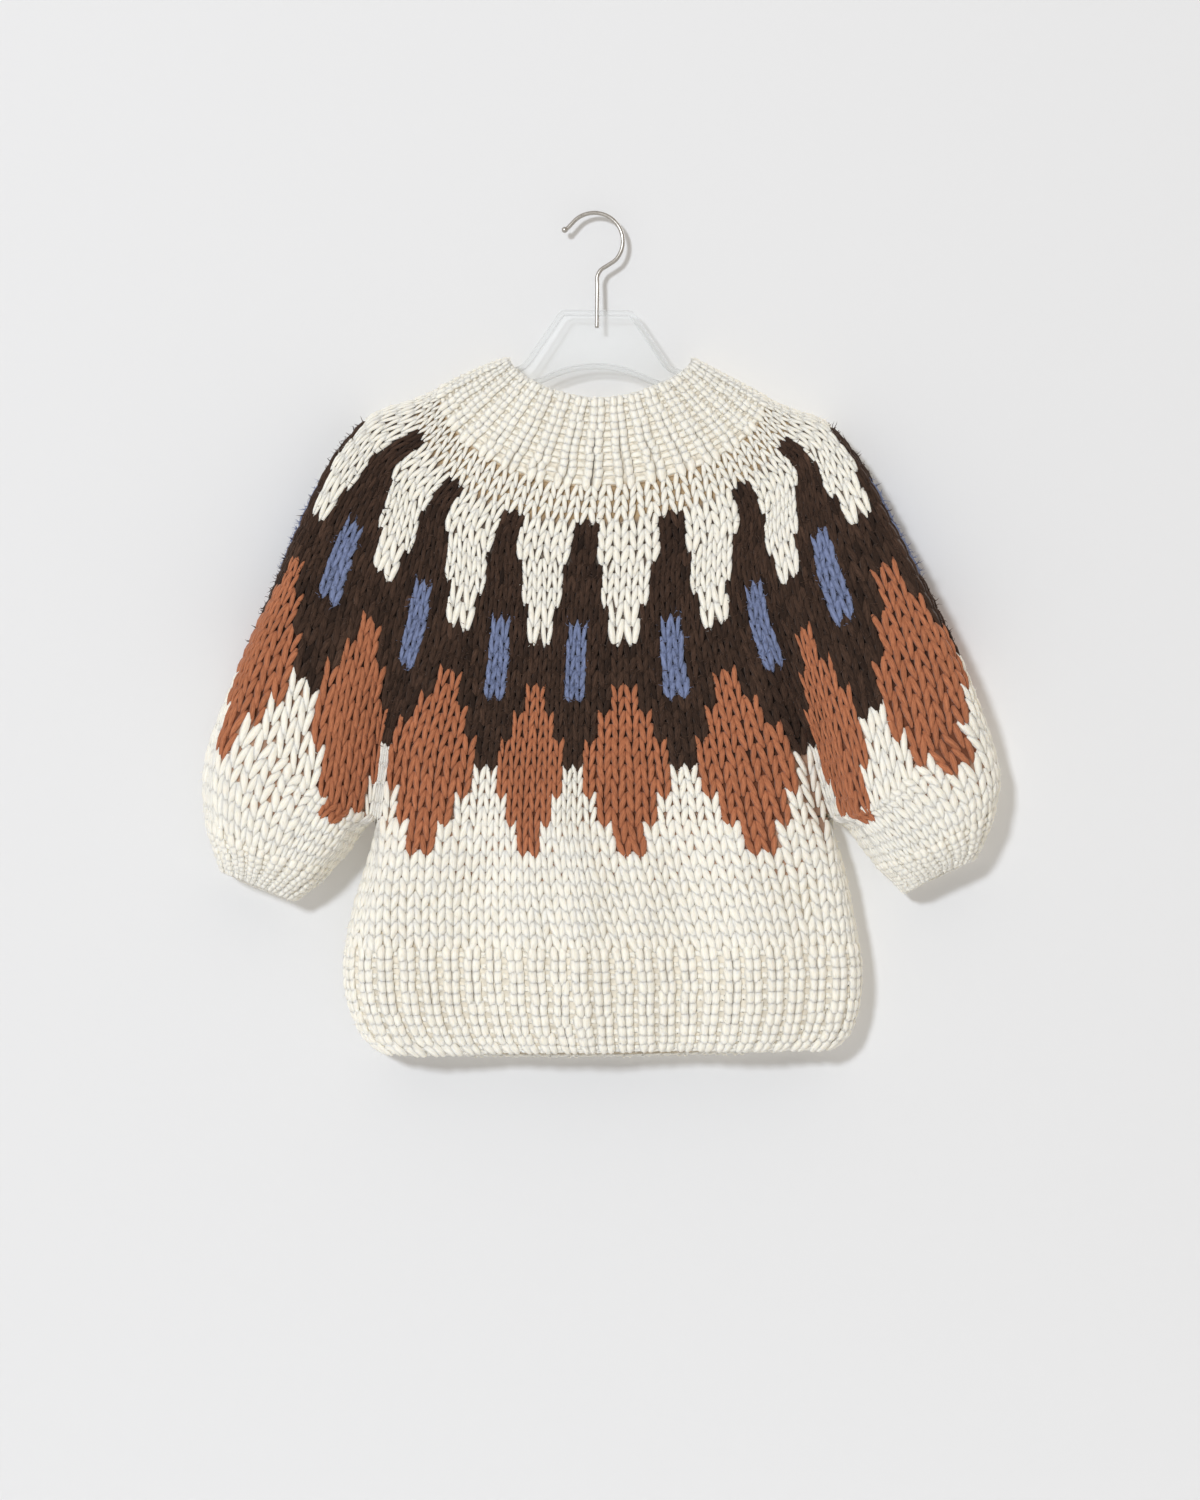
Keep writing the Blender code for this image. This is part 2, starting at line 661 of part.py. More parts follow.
def hook_route():
    """The hook's centre line as points (x, z) in millimetres, from its free end."""
    centre_z = WIRE_RADIUS - HOOK_RADIUS
    route = []
    for step in range(HOOK_ARC_POINTS):
        share = step / (HOOK_ARC_POINTS - 1)
        angle = math.radians(HOOK_FREE_ANGLE + (HOOK_THROAT_ANGLE - HOOK_FREE_ANGLE) * share)
        route.append(
            (
                HOOK_CENTRE_X + HOOK_RADIUS * math.cos(angle),
                centre_z + HOOK_RADIUS * math.sin(angle),
            )
        )
    return [*HOOK_FREE_END, *route, *HOOK_STEM]


def make_hanger_hook(pose, finish, group):
    """The steel wire hook."""
    curve = bpy.data.curves.new("hanger_hook", "CURVE")
    curve.dimensions = "3D"
    curve.bevel_depth = WIRE_RADIUS * MM
    curve.bevel_resolution = 2
    curve.use_fill_caps = True
    route = hook_route()
    spline = curve.splines.new("POLY")
    spline.points.add(len(route) - 1)
    for point, (x, z) in zip(spline.points, route):
        point.co = (x * MM, z * MM, 0.0, 1.0)
    curve.materials.append(finish)
    hook = bpy.data.objects.new("hanger_hook", curve)
    hook.parent = pose
    hook.rotation_euler.x = 0.5 * math.pi
    group.objects.link(hook)
    return hook


def main():
    clear_scene()
    group = bpy.data.collections.new(COLLECTION)
    cutters = bpy.data.collections.new("cutters")
    bpy.context.scene.collection.children.link(group)
    bpy.context.scene.collection.children.link(cutters)

    cream = material("cream_knit", (0.80, 0.78, 0.70), 0.9)
    cream_rib = material("cream_rib", (0.82, 0.80, 0.72), 0.9)
    patterned = material("patterned_knit", (0.45, 0.22, 0.15), 0.9)
    plastic = material("clear_plastic", (0.95, 0.96, 0.97), 0.08, transmission=0.9)
    steel = material("brushed_steel", (0.62, 0.60, 0.58), 0.3, metallic=1.0)

    make_neckband(cream_rib, group)
    make_yoke(patterned, group)
    make_body(cream, cream_rib, group)
    make_sleeve("left", -1.0, LEFT_SLEEVE_SECTIONS, cream, cream_rib, group)
    make_sleeve("right", 1.0, RIGHT_SLEEVE_SECTIONS, cream, cream_rib, group)
    pose = make_hanger_pose(group)
    make_hanger_body(pose, plastic, group, cutters)
    make_hanger_hook(pose, steel, group)


if __name__ == "__main__":
    main()
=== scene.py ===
"""A hand-knitted jacquard sweater on a clear hanger, dressed stitch by stitch.

The sweater is knitted in the round from the neck down. Its solids give the form:
a ring for each row of the neckband and yoke, then a loft for each tube. Here every
stitch of that form is laid as yarn over a thin lining of cloth: two slanting legs
for a plain stitch, a low bead across for a purl one, and loose fibres on both.

The frame: X runs across the sweater, Y away from the viewer and Z up, in metres.
The origin is the underside of the hook's crown. Rows are counted down from the
top of the yoke. Round a ring the angle is 0 at the centre front, 90 and -90 at
the folded edges and 180 at the centre back.
"""

import json
import logging
import math
from dataclasses import dataclass, field, replace
from enum import Enum
from typing import Any

import bpy
import numpy as np
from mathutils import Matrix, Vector

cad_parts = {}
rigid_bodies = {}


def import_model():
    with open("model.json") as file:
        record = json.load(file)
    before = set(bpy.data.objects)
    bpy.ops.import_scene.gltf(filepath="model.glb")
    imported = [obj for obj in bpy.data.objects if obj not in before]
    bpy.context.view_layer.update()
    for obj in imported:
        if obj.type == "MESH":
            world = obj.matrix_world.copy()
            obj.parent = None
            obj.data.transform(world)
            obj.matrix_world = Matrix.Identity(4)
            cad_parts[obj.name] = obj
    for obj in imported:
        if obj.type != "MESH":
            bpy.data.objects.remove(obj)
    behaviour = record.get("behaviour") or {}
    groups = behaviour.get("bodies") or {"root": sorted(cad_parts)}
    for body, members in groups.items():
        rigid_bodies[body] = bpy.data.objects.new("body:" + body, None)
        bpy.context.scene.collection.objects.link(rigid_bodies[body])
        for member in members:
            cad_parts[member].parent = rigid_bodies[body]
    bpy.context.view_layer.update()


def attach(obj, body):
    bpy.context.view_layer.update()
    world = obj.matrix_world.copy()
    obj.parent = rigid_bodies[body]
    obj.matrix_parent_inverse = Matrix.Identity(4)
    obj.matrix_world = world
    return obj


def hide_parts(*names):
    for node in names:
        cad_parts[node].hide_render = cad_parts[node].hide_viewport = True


Colour = tuple[float, float, float]
Point = tuple[float, float, float]

LOG = logging.getLogger("sweater")
MM = 0.001
BODY = "root"

YOKE_COLUMNS = 128
BODY_COLUMNS = 72
BODY_QUARTER = BODY_COLUMNS // 4
SLEEVE_COLUMNS = 36
GUSSET_HALF = 2
REPEATS = 16
REPEAT_COLUMNS = YOKE_COLUMNS // REPEATS
EDGE_COLUMN = YOKE_COLUMNS / 4
STITCH_TURN = 360.0 / YOKE_COLUMNS
YOKE_STITCH_ROWS = 24
PLAIN_ROW = 40
LINING_FINE = 2
ONE_QUAD = np.array([[0, 1, 2, 3]])
UNDERARM_ROW = 23.0
HEM_TOP_ROW = 32.0
HEM_EDGE_ROW = 41.0
CUFF_TOP_ROW = 29.0
CUFF_EDGE_ROW = 35.0
NECK_EDGE_ROW = -11.0
WALL = 5.5 * MM
DEEP_LINING = 3.8 * MM
HIGH_LINING = 2.7 * MM
NECK_RIBS = 36
HEM_RIBS = 52
CUFF_RIBS = 18
FOLD_GAIN = 2.1


class Yarn(Enum):
    """The four yarns of the sweater."""

    CREAM = 0
    BROWN = 1
    RUST = 2
    BLUE = 3


@dataclass(frozen=True)
class Ring:
    """One ring of the neckband or yoke, in millimetres and degrees, as the solids have it."""

    row: float
    mid_x: float
    mid_z: float
    left_reach: float
    left_rise: float
    right_reach: float
    right_rise: float
    bend: float
    rise_turn: float
    reach_turn: float
    body: float
    sleeve: float
    back: float
    crease: float
    right_pit: float
    nose: float


@dataclass(frozen=True)
class Section:
    """One closed section of a tube, in millimetres, as the solids have it."""

    row: float
    first_x: float
    first_z: float
    second_x: float
    second_z: float
    sag: float
    front: float
    back: float
    back_drop: float
    nose: float


@dataclass(frozen=True)
class Fold:
    """A soft fold down the yoke and body: its column, half width, height, and its first and full rows."""

    column: float
    width: float
    height: float
    begins: float
    full: float


@dataclass(frozen=True)
class Drift:
    """How many columns the folds draw a front column sideways: where the teeth end, and at the diamonds."""

    column: float
    upper: float
    lower: float


DRIFTS = (
    Drift(-32.0, 0.0, 0.0),
    Drift(-28.0, 0.0, -0.7),
    Drift(-24.5, 0.5, 0.6),
    Drift(-22.0, 0.9, 1.4),
    Drift(-17.5, 1.2, 1.2),
    Drift(-15.0, 1.0, -0.5),
    Drift(-12.0, 1.1, 0.1),
    Drift(-8.5, 1.0, 0.8),
    Drift(-4.0, 0.6, 0.3),
    Drift(-1.0, 0.0, -0.1),
    Drift(1.5, -0.3, -0.7),
    Drift(5.0, -0.3, -0.7),
    Drift(9.0, -0.4, -0.9),
    Drift(12.0, -0.75, -1.0),
    Drift(15.0, -0.95, -0.6),
    Drift(16.0, -1.1, -0.15),
    Drift(18.0, -1.5, -1.6),
    Drift(20.5, -2.2, -3.0),
    Drift(23.0, -2.5, -3.3),
    Drift(25.5, -2.4, -3.0),
    Drift(28.5, -1.4, -1.8),
    Drift(32.0, 0.0, 0.0),
)
DRIFT_ROWS = (4.0, 12.0, 19.0)

RINGS = (
    Ring(-11.0, 0.0, -161.7, 78.3, 38.7, 82.6, 38.0, 1.8, 60, 88, 20, 13, 13, 0, 0, 12),
    Ring(-5.5, -2.6, -198.7, 104.0, 64.5, 117.0, 57.6, 2.0, 60, 92, 21, 13, 13, 0, 0, 12),
    Ring(0.0, -5.2, -236.5, 130.7, 87.7, 148.8, 80.0, 2.0, 60, 95, 20, 13, 14, 0, 0, 12),
    Ring(3.0, -10.3, -269.2, 149.6, 110.1, 177.0, 102.3, 2.2, 60, 93, 20, 14, 14, 0, 0, 13),
    Ring(5.0, -12.9, -293.3, 178.9, 123.0, 205.5, 117.0, 2.4, 65, 85, 21, 15, 15, 0, 0, 14),
    Ring(7.5, -14.6, -324.2, 207.3, 123.8, 233.0, 122.0, 2.7, 72, 70, 24, 20, 16, 0, 0, 17),
    Ring(12.0, -18.0, -386.1, 240.8, 113.5, 273.5, 117.8, 3.2, 88, 60, 30, 31, 17, 3, 2, 22),
    Ring(16.0, -18.0, -433.4, 261.4, 109.2, 305.3, 102.3, 4.2, 90, 56, 35, 41, 18, 12, 5, 26),
    Ring(20.0, -17.5, -481.6, 284.7, 105.8, 330.2, 95.5, 6.0, 90, 52, 38, 48, 19, 24, 12, 29),
    Ring(23.0, -18.0, -518.6, 300.0, 104.0, 345.7, 94.6, 10.0, 90, 48, 40, 50, 19, 32, 20, 30),
)
BODY_SECTIONS = (
    Section(26.0, -198.5, -556.0, 209.5, -553.0, 4, 42, 18, 0, 28),
    Section(29.0, -209.5, -592.0, 217.0, -589.0, 3, 43, 18, 0, 28),
    Section(32.0, -216.5, -627.0, 223.5, -625.0, 2, 43, 18, 0, 28),
    Section(35.0, -217.5, -658.5, 226.0, -656.5, 2, 42, 18, 1, 28),
    Section(38.0, -210.0, -689.5, 221.5, -687.5, 2, 40, 17, 3, 27),
    Section(40.0, -198.0, -709.5, 213.5, -706.0, 1, 37, 17, 5, 25),
    Section(41.0, -187.0, -718.5, 205.0, -714.0, -1, 34, 16, 7, 22),
)
LEFT_SLEEVE_SECTIONS = (
    Section(25.0, -332.0, -449.0, -201.5, -531.0, 3, 51, 18, 0, 30),
    Section(27.0, -339.0, -485.0, -212.5, -547.5, 4, 49, 18, 0, 30),
    Section(29.0, -336.5, -519.0, -226.5, -562.5, 5, 45, 17, 0, 27),
    Section(32.0, -330.0, -543.5, -242.0, -577.5, 4, 34, 14, 0, 21),
    Section(35.0, -324.5, -562.5, -258.0, -589.5, -1, 25, 12, 3, 15),
)
RIGHT_SLEEVE_SECTIONS = (
    Section(25.0, 337.0, -449.5, 212.5, -527.5, 3, 51, 18, 0, 30),
    Section(27.0, 344.5, -482.0, 225.5, -544.5, 4, 49, 18, 0, 30),
    Section(29.0, 341.0, -508.0, 236.5, -558.5, 5, 45, 17, 0, 27),
    Section(32.0, 333.0, -534.0, 250.0, -571.5, 4, 34, 14, 0, 21),
    Section(35.0, 324.0, -553.5, 260.0, -583.0, -3, 25, 12, 3, 15),
)
BODY_FOLDS = (
    Fold(3.5, 2.0, 2.5, 22.0, 30.0),
    Fold(9.5, 1.8, -3.5, 16.0, 27.0),
    Fold(13.0, 1.6, 2.0, 14.0, 26.0),
    Fold(16.4, 1.5, 4.5, 13.0, 25.0),
    Fold(23.2, 2.0, -4.0, 15.0, 26.0),
    Fold(28.0, 2.2, 2.5, 17.0, 27.0),
    Fold(32.5, 1.8, -3.0, 20.0, 28.0),
    Fold(45.0, 2.5, -3.0, 18.0, 28.0),
    Fold(54.5, 2.2, 2.0, 16.0, 27.0),
    Fold(63.0, 2.4, -3.0, 18.0, 28.0),
)


def smooth_step(value: np.ndarray) -> np.ndarray:
    """A smooth rise from 0 to 1: three times the square less twice the cube."""
    value = np.clip(value, 0.0, 1.0)
    return value * value * (3.0 - 2.0 * value)


def hermite(knots: np.ndarray, values: np.ndarray, at: np.ndarray) -> np.ndarray:
    """Smooth values between known ones.

    Each span is a cubic that meets its two knots with the slopes of the knots' neighbours.

    Args:
        knots: Where the values are known, rising.
        values: The known values, one or more numbers for each knot.
        at: Where to read them.

    Returns:
        The values at those places.
    """
    knots = np.asarray(knots, float)
    values = np.asarray(values, float)
    slopes = np.gradient(values, knots, axis=0)
    at = np.atleast_1d(np.asarray(at, float))
    cell = np.clip(np.searchsorted(knots, at) - 1, 0, len(knots) - 2)
    span = knots[cell + 1] - knots[cell]
    share = (at - knots[cell]) / span
    shape = (-1,) + (1,) * (values.ndim - 1)
    share, span = share.reshape(shape), span.reshape(shape)
    return (
        (2 * share**3 - 3 * share**2 + 1) * values[cell]
        + (share**3 - 2 * share**2 + share) * span * slopes[cell]
        + (3 * share**2 - 2 * share**3) * values[cell + 1]
        + (share**3 - share**2) * span * slopes[cell + 1]
    )


def unit(vectors: np.ndarray) -> np.ndarray:
    """The vectors at length 1: each divided by its length."""
    return vectors / np.maximum(np.linalg.norm(vectors, axis=-1, keepdims=True), 1e-12)


def circle(corners: int) -> np.ndarray:
    """Angles evenly round a circle, in radians."""
    return np.arange(corners) / corners * 2.0 * math.pi


def distances(path: np.ndarray) -> np.ndarray:
    """How far along its path each point lies: the running sum of the steps, from 0."""
    steps = np.linalg.norm(np.diff(path, axis=-2), axis=-1)
    return np.concatenate([np.zeros((*steps.shape[:-1], 1)), np.cumsum(steps, axis=-1)], axis=-1)


def half_sine(share: np.ndarray, start: float, span: float) -> np.ndarray:
    """The sine over a stretch of its first half turn: from the start on, for the span times the share."""
    return np.sin(math.pi * (start + span * share))


def rounded_edge(arc: np.ndarray, nose: np.ndarray) -> tuple[np.ndarray, np.ndarray]:
    """Distance from a folded edge and share of the depth, at an arc length from it.

    The edge is a quarter of a circle of the nose's radius, then runs straight.
    """
    turn = np.clip(arc / nose, 0.0, 0.5 * math.pi)
    across = nose * (1.0 - np.cos(turn)) + np.maximum(arc - 0.5 * math.pi * nose, 0.0)
    return across, np.sin(turn)


def mesh_object(
    name: str,
    points: np.ndarray,
    faces: list[np.ndarray],
    material: bpy.types.Material,
    attributes: dict[str, np.ndarray] | None = None,
    smooth: bool = True,
) -> bpy.types.Object:
    """A mesh object at the origin, made from whole arrays.

    Args:
        name: Its name.
        points: Its points, in metres.
        faces: Arrays of faces, one for each number of corners.
        material: Its finish.
        attributes: A number or a vector for each point, by the attribute's name.
        smooth: Whether it is shaded smooth.

    Returns:
        The object.
    """
    mesh = bpy.data.meshes.new(name)
    corners = np.concatenate([group.ravel() for group in faces]).astype(np.int32)
    totals = np.concatenate([np.full(len(group), group.shape[1]) for group in faces])
    mesh.vertices.add(len(points))
    mesh.vertices.foreach_set("co", points.astype(np.float32).ravel())
    mesh.loops.add(len(corners))
    mesh.loops.foreach_set("vertex_index", corners)
    mesh.polygons.add(len(totals))
    mesh.polygons.foreach_set("loop_start", (np.cumsum(totals) - totals).astype(np.int32))
    mesh.update(calc_edges=True)
    mesh.validate()
    for word, values in (attributes or {}).items():
        kind, slot = ("FLOAT_VECTOR", "vector") if values.ndim == 2 else ("FLOAT", "value")
        layer = mesh.attributes.new(word, kind, "POINT")
        layer.data.foreach_set(slot, values.astype(np.float32).ravel())
    if smooth:
        mesh.shade_smooth()
    else:
        mesh.shade_flat()
    mesh.materials.append(material)
    made = bpy.data.objects.new(name, mesh)
    bpy.context.scene.collection.objects.link(made)
    return made


def recalculate(made: bpy.types.Object) -> None:
    """Turns an object's faces outwards."""
    bpy.context.view_layer.objects.active = made
    made.select_set(True)
    bpy.ops.object.mode_set(mode="EDIT")
    bpy.ops.mesh.select_all(action="SELECT")
    bpy.ops.mesh.normals_make_consistent(inside=False)
    bpy.ops.object.mode_set(mode="OBJECT")
    made.select_set(False)
    made.data.update()


def fold_relief(column: np.ndarray, row: np.ndarray) -> np.ndarray:
    """How far the soft folds move the cloth outwards, in metres: a bell over the columns for each fold."""
    total = np.zeros(np.broadcast(column, row).shape)
    for fold in BODY_FOLDS:
        away = np.abs(column - fold.column)
        away = np.minimum(away, BODY_COLUMNS - away)
        grown = smooth_step((row - fold.begins) / (fold.full - fold.begins))
        total = total + fold.height * MM * grown * np.exp(-((away / fold.width) ** 2))
    in_hem = smooth_step((row - HEM_TOP_ROW) / (HEM_EDGE_ROW - HEM_TOP_ROW))
    return total * (1.0 - 0.4 * in_hem) * FOLD_GAIN


@dataclass
class ClothSurface:
    """The outer face of one stretch of knitting, sampled finely.

    Attributes:
        points: The face, as rows by columns by three, closed round each row.
        first_row: The row of the first line of points.
        row_step: Rows between lines.
        columns: Stitch columns once round.
        outward: 1 where the columns run anticlockwise seen from above, or -1.
    """

    points: np.ndarray
    first_row: float
    row_step: float
    columns: float
    outward: float
    normals: np.ndarray = field(init=False)

    def __post_init__(self) -> None:
        """Works out the unit normals: the way down crossed with the way round."""
        along = np.roll(self.points, -1, axis=1) - np.roll(self.points, 1, axis=1)
        down = np.gradient(self.points, axis=0)
        self.normals = unit(np.cross(down, along) * self.outward)

    def place(self, column: np.ndarray, row: np.ndarray) -> tuple[np.ndarray, np.ndarray]:
        """Points and normals at any columns and rows, by the weighted mean of the four samples around."""
        column, row = np.broadcast_arrays(column, row)
        lines, around = self.points.shape[:2]
        up = np.clip((row - self.first_row) / self.row_step, 0.0, lines - 1.001)
        side = (column / self.columns * around) % around
        i, j = np.floor(up).astype(int), np.floor(side).astype(int) % around
        a, b = (up - i)[..., None], (side - np.floor(side))[..., None]
        k = (j + 1) % around

        def mean(grid: np.ndarray) -> np.ndarray:
            """The weighted mean of the four samples around each place."""
            top = grid[i, j] * (1.0 - b) + grid[i, k] * b
            low = grid[i + 1, j] * (1.0 - b) + grid[i + 1, k] * b
            return top * (1.0 - a) + low * a

        return mean(self.points), unit(mean(self.normals))

    def stitch_width(self, column: np.ndarray, row: np.ndarray, wide: np.ndarray) -> np.ndarray:
        """The true width of stitches, in metres: the distance between their two sides."""
        left, _ = self.place(column - 0.5 * wide, row)
        right, _ = self.place(column + 0.5 * wide, row)
        return np.linalg.norm(right - left, axis=-1)


@dataclass
class SweaterForm:
    """The shape of the sweater, the same as its solids: rings for the yoke and lofts for the tubes."""

    fold_y: float = -12.0 * MM
    crease_angle: float = 45.0
    crease_width: float = 9.0
    left_crease_width: float = 6.5
    right_crease_width: float = 3.8
    back_crease_share: float = 0.35
    right_pit_width: float = 20.0
    sleeve_blend_width: float = 28.0
    crown_share: float = 0.18
    widest_nose: float = 0.48
    underarm_drop: float = 2.5 * MM
    row_step: float = 0.125
    fine_columns: int = 512
    lead_rows: float = 2.0
    slide_rows: float = 11.0
    slide_fade: float = 3.5
    fold_fade: float = 3.0
    tube_lap: int = 3
    tube_fine: int = 6

    def drifted(self, angle: np.ndarray, row: np.ndarray) -> np.ndarray:
        """The angles at which the front's columns lie once the folds have drawn them sideways.

        The drift runs smoothly over the columns, from none to the upper and then the
        lower value by straight lines down the rows. The back does not drift.
        """
        column = np.clip(angle / STITCH_TURN, -EDGE_COLUMN, EDGE_COLUMN)
        knots = [drift.column for drift in DRIFTS]
        shape = np.broadcast(column, row).shape
        upper = np.interp(column, knots, [drift.upper for drift in DRIFTS])
        lower = np.interp(column, knots, [drift.lower for drift in DRIFTS])
        first, second, third = DRIFT_ROWS
        begun = np.clip((row - first) / (second - first), 0.0, 1.0)
        full = np.clip((row - second) / (third - second), 0.0, 1.0)
        moved = (upper * (1.0 - full) + lower * full) * begun * STITCH_TURN
        return np.broadcast_to(angle, shape) + np.where(np.abs(angle) < 90.0, moved, 0.0)

    def yoke_points(self, angle: np.ndarray, row: np.ndarray) -> np.ndarray:
        """Points on the outer face of the neckband and yoke.

        Each ring lies nearly flat: its front and back run between two folded edges
        with rounded noses. Sideways it follows a sine of the share of the way out,
        and upwards a power of another sine, so that the ring bends up at its ends.

        Args:
            angle: Degrees round the ring, one row of numbers.
            row: Rows below the top of the yoke, as a column of numbers.

        Returns:
            Points in metres, rows by angles by three.
        """
        knots = [ring.row for ring in RINGS]
        names = list(Ring.__dataclass_fields__)[1:]
        table = hermite(knots, [[getattr(ring, name) for name in names] for ring in RINGS], row.ravel())
        at = {name: table[:, [index]] for index, name in enumerate(names)}
        angle = (np.asarray(angle, float)[None, :] + 180.0) % 360.0 - 180.0
        row = row.reshape(-1, 1)
        angle = self.drifted(angle, row)
        side = np.where(angle < 0.0, -1.0, 1.0)
        front = np.abs(angle) <= 90.0
        flat = np.where(front, np.abs(angle), 180.0 - np.abs(angle))
        reach = np.where(side < 0.0, at["left_reach"], at["right_reach"])
        rise = np.where(side < 0.0, at["left_rise"], at["right_rise"])
        length = np.hypot(reach, rise)
        nose = at["nose"]
        arc = (1.0 - flat / 90.0) * (length + (0.5 * math.pi - 1.0) * nose)
        across, fullness = rounded_edge(arc, nose)
        share = 1.0 - across / length
        reach_turn = np.radians(at["reach_turn"])
        rise_turn = np.radians(at["rise_turn"])
        out = np.sin(reach_turn * share) / np.sin(reach_turn)
        pit = np.exp(-(((flat - self.crease_angle) / self.right_pit_width) ** 2)) * at["right_pit"]
        out_mm = reach * out + np.where(side > 0.0, pit * fullness, 0.0)
        up_mm = rise * (np.sin(rise_turn * np.clip(share, 0.0, 1.0)) / np.sin(rise_turn)) ** at["bend"]
        blend = smooth_step((flat - self.crease_angle) / self.sleeve_blend_width + 0.5)
        width = np.where(side < 0.0, self.left_crease_width, self.right_crease_width)
        width = np.where(front, width, self.crease_width)
        crease = at["crease"] * np.exp(-(((flat - self.crease_angle) / width) ** 2))
        front_mm = (at["body"] + (at["sleeve"] - at["body"]) * blend) * fullness - crease
        back_mm = at["back"] * fullness - self.back_crease_share * crease
        behind = (angle % 360.0 - 180.0) / STITCH_TURN + 3 * BODY_QUARTER
        column = np.where(front, angle / STITCH_TURN + BODY_QUARTER, behind)
        relief = fold_relief(column, row) * fullness
        depth = np.where(front, -front_mm * MM - relief, back_mm * MM + relief)
        return np.stack(
            [
                (at["mid_x"] + side * out_mm) * MM,
                self.fold_y + depth,
                (at["mid_z"] + up_mm) * MM,
            ],
            axis=-1,
        )

    def yoke(self) -> ClothSurface:
        """The neckband and yoke as one face, a little past both ends."""
        rows = np.arange(NECK_EDGE_ROW - 1.0, UNDERARM_ROW + 1.01, self.row_step)
        angles = np.arange(self.fine_columns) * 360.0 / self.fine_columns
        points = self.yoke_points(angles, rows[:, None])
        return ClothSurface(points, rows[0], self.row_step, YOKE_COLUMNS, 1.0)

    def tube_points(self, section: Section, columns: int, slide: np.ndarray) -> np.ndarray:
        """One closed section of a tube, a point for each column.

        The front and the back run between the two folded edges, each a share of its
        depth: mostly a flat with rounded ends, and a little of a sine.

        Args:
            section: The section.
            columns: Columns once round.
            slide: How far each column lies from its even place where the tube begins.

        Returns:
            Points in metres, columns by three.
        """
        half = columns // 2
        front = np.arange(columns) <= half
        left = 1.0 - smooth_step(np.array((section.row - UNDERARM_ROW) / self.slide_rows))
        index = np.arange(columns) + slide * left
        share = np.where(front, index / half, (columns - index) / half)
        first = np.array([section.first_x, section.first_z])
        second = np.array([section.second_x, section.second_z])
        length = float(np.hypot(*(second - first)))
        nose = min(section.nose, self.widest_nose * length)
        total = length + (math.pi - 2.0) * nose
        arc = share * total
        near_first = share <= 0.5
        across, fullness = rounded_edge(np.where(near_first, arc, total - arc), nose)
        along = np.where(near_first, across, length - across) / length
        crown = np.sin(math.pi * np.clip(along, 0.0, 1.0))
        fullness = (1.0 - self.crown_share) * fullness + self.crown_share * crown
        depth = np.where(front, -section.front, section.back) * fullness
        if columns == BODY_COLUMNS:
            away = np.minimum(index, np.abs(index - half))
            away = np.minimum(away, columns - index)
            relief = fold_relief(index, np.array(section.row)) * smooth_step(away / self.fold_fade)
            depth = depth + np.where(front, -relief, relief) / MM
        drop = section.sag * crown + np.where(front, 0.0, section.back_drop) * crown
        place = first + (second - first) * along[:, None]
        return np.stack([place[:, 0] * MM, self.fold_y + depth * MM, (place[:, 1] - drop) * MM], axis=-1)

    def tube_start(self, angles: np.ndarray, row: float, middles: tuple[int, ...]) -> np.ndarray:
        """The yoke's own ring where a tube leaves it, with its underarms bridged by straight lines."""
        points = self.yoke_points(angles, np.array([[row]]))[0]
        count = len(angles)
        for middle in middles:
            inside = (middle + np.arange(-GUSSET_HALF, GUSSET_HALF + 1)) % count
            ends = points[inside[[0, -1]]]
            points[inside] = ends[0] + (ends[1] - ends[0]) * np.linspace(0.0, 1.0, len(inside))[:, None]
            points[inside, 2] -= self.underarm_drop
        return points

    def slide(self, start: np.ndarray, first: np.ndarray) -> np.ndarray:
        """How far each column of a tube lies from its even place where it leaves the yoke.

        Both rings are measured along the line between their folded edges. Next to the
        edges the slide fades, so that no two columns meet.

        Args:
            start: The ring where the tube begins.
            first: Its first even section.

        Returns:
            The slide in columns, one for each column.
        """
        count = len(start)
        half = count // 2
        index = np.arange(count)
        mirrored = np.where(index <= half, index, count - index)

        def along(ring: np.ndarray) -> np.ndarray:
            """The share of the way from the first folded edge to the second."""
            line = (ring[half] - ring[0]) * (1.0, 0.0, 1.0)
            return (ring - ring[0]) @ line / (line @ line)

        found = np.interp(along(start), along(first)[: half + 1], np.arange(half + 1)) - mirrored
        away = np.minimum(mirrored, half - mirrored)
        return np.where(index <= half, found, -found) * smooth_step((away - 1.0) / self.slide_fade)

    def tube(
        self, angles: np.ndarray, sections: tuple[Section, ...], middles: tuple[int, ...], outward: float
    ) -> ClothSurface:
        """A tube's outer face: a loft down from the yoke's last rows through its sections.

        Args:
            angles: The yoke's angle at each of the tube's columns.
            sections: The tube's sections, downwards.
            middles: The columns at the middle of each underarm.
            outward: 1 where the columns run anticlockwise seen from above, or -1.

        Returns:
            The face.
        """
        starts = (UNDERARM_ROW - self.lead_rows, UNDERARM_ROW)
        knots = [*starts, *(section.row for section in sections)]
        rings = [self.tube_start(angles, row, middles) for row in starts]
        count = len(angles)
        slide = self.slide(rings[1], self.tube_points(sections[0], count, np.zeros(count)))
        rings += [self.tube_points(section, count, slide) for section in sections]
        rows = np.arange(UNDERARM_ROW - 1.0, sections[-1].row + 1.01, self.row_step)
        lofted = hermite(knots, rings, rows)
        lap = self.tube_lap
        padded = np.concatenate([lofted[:, -lap:], lofted, lofted[:, : lap + 1]], axis=1)
        fine = np.arange(count * self.tube_fine) / self.tube_fine
        points = hermite(np.arange(-lap, count + lap + 1), padded.swapaxes(0, 1), fine).swapaxes(0, 1)
        return ClothSurface(points, rows[0], self.row_step, count, outward)

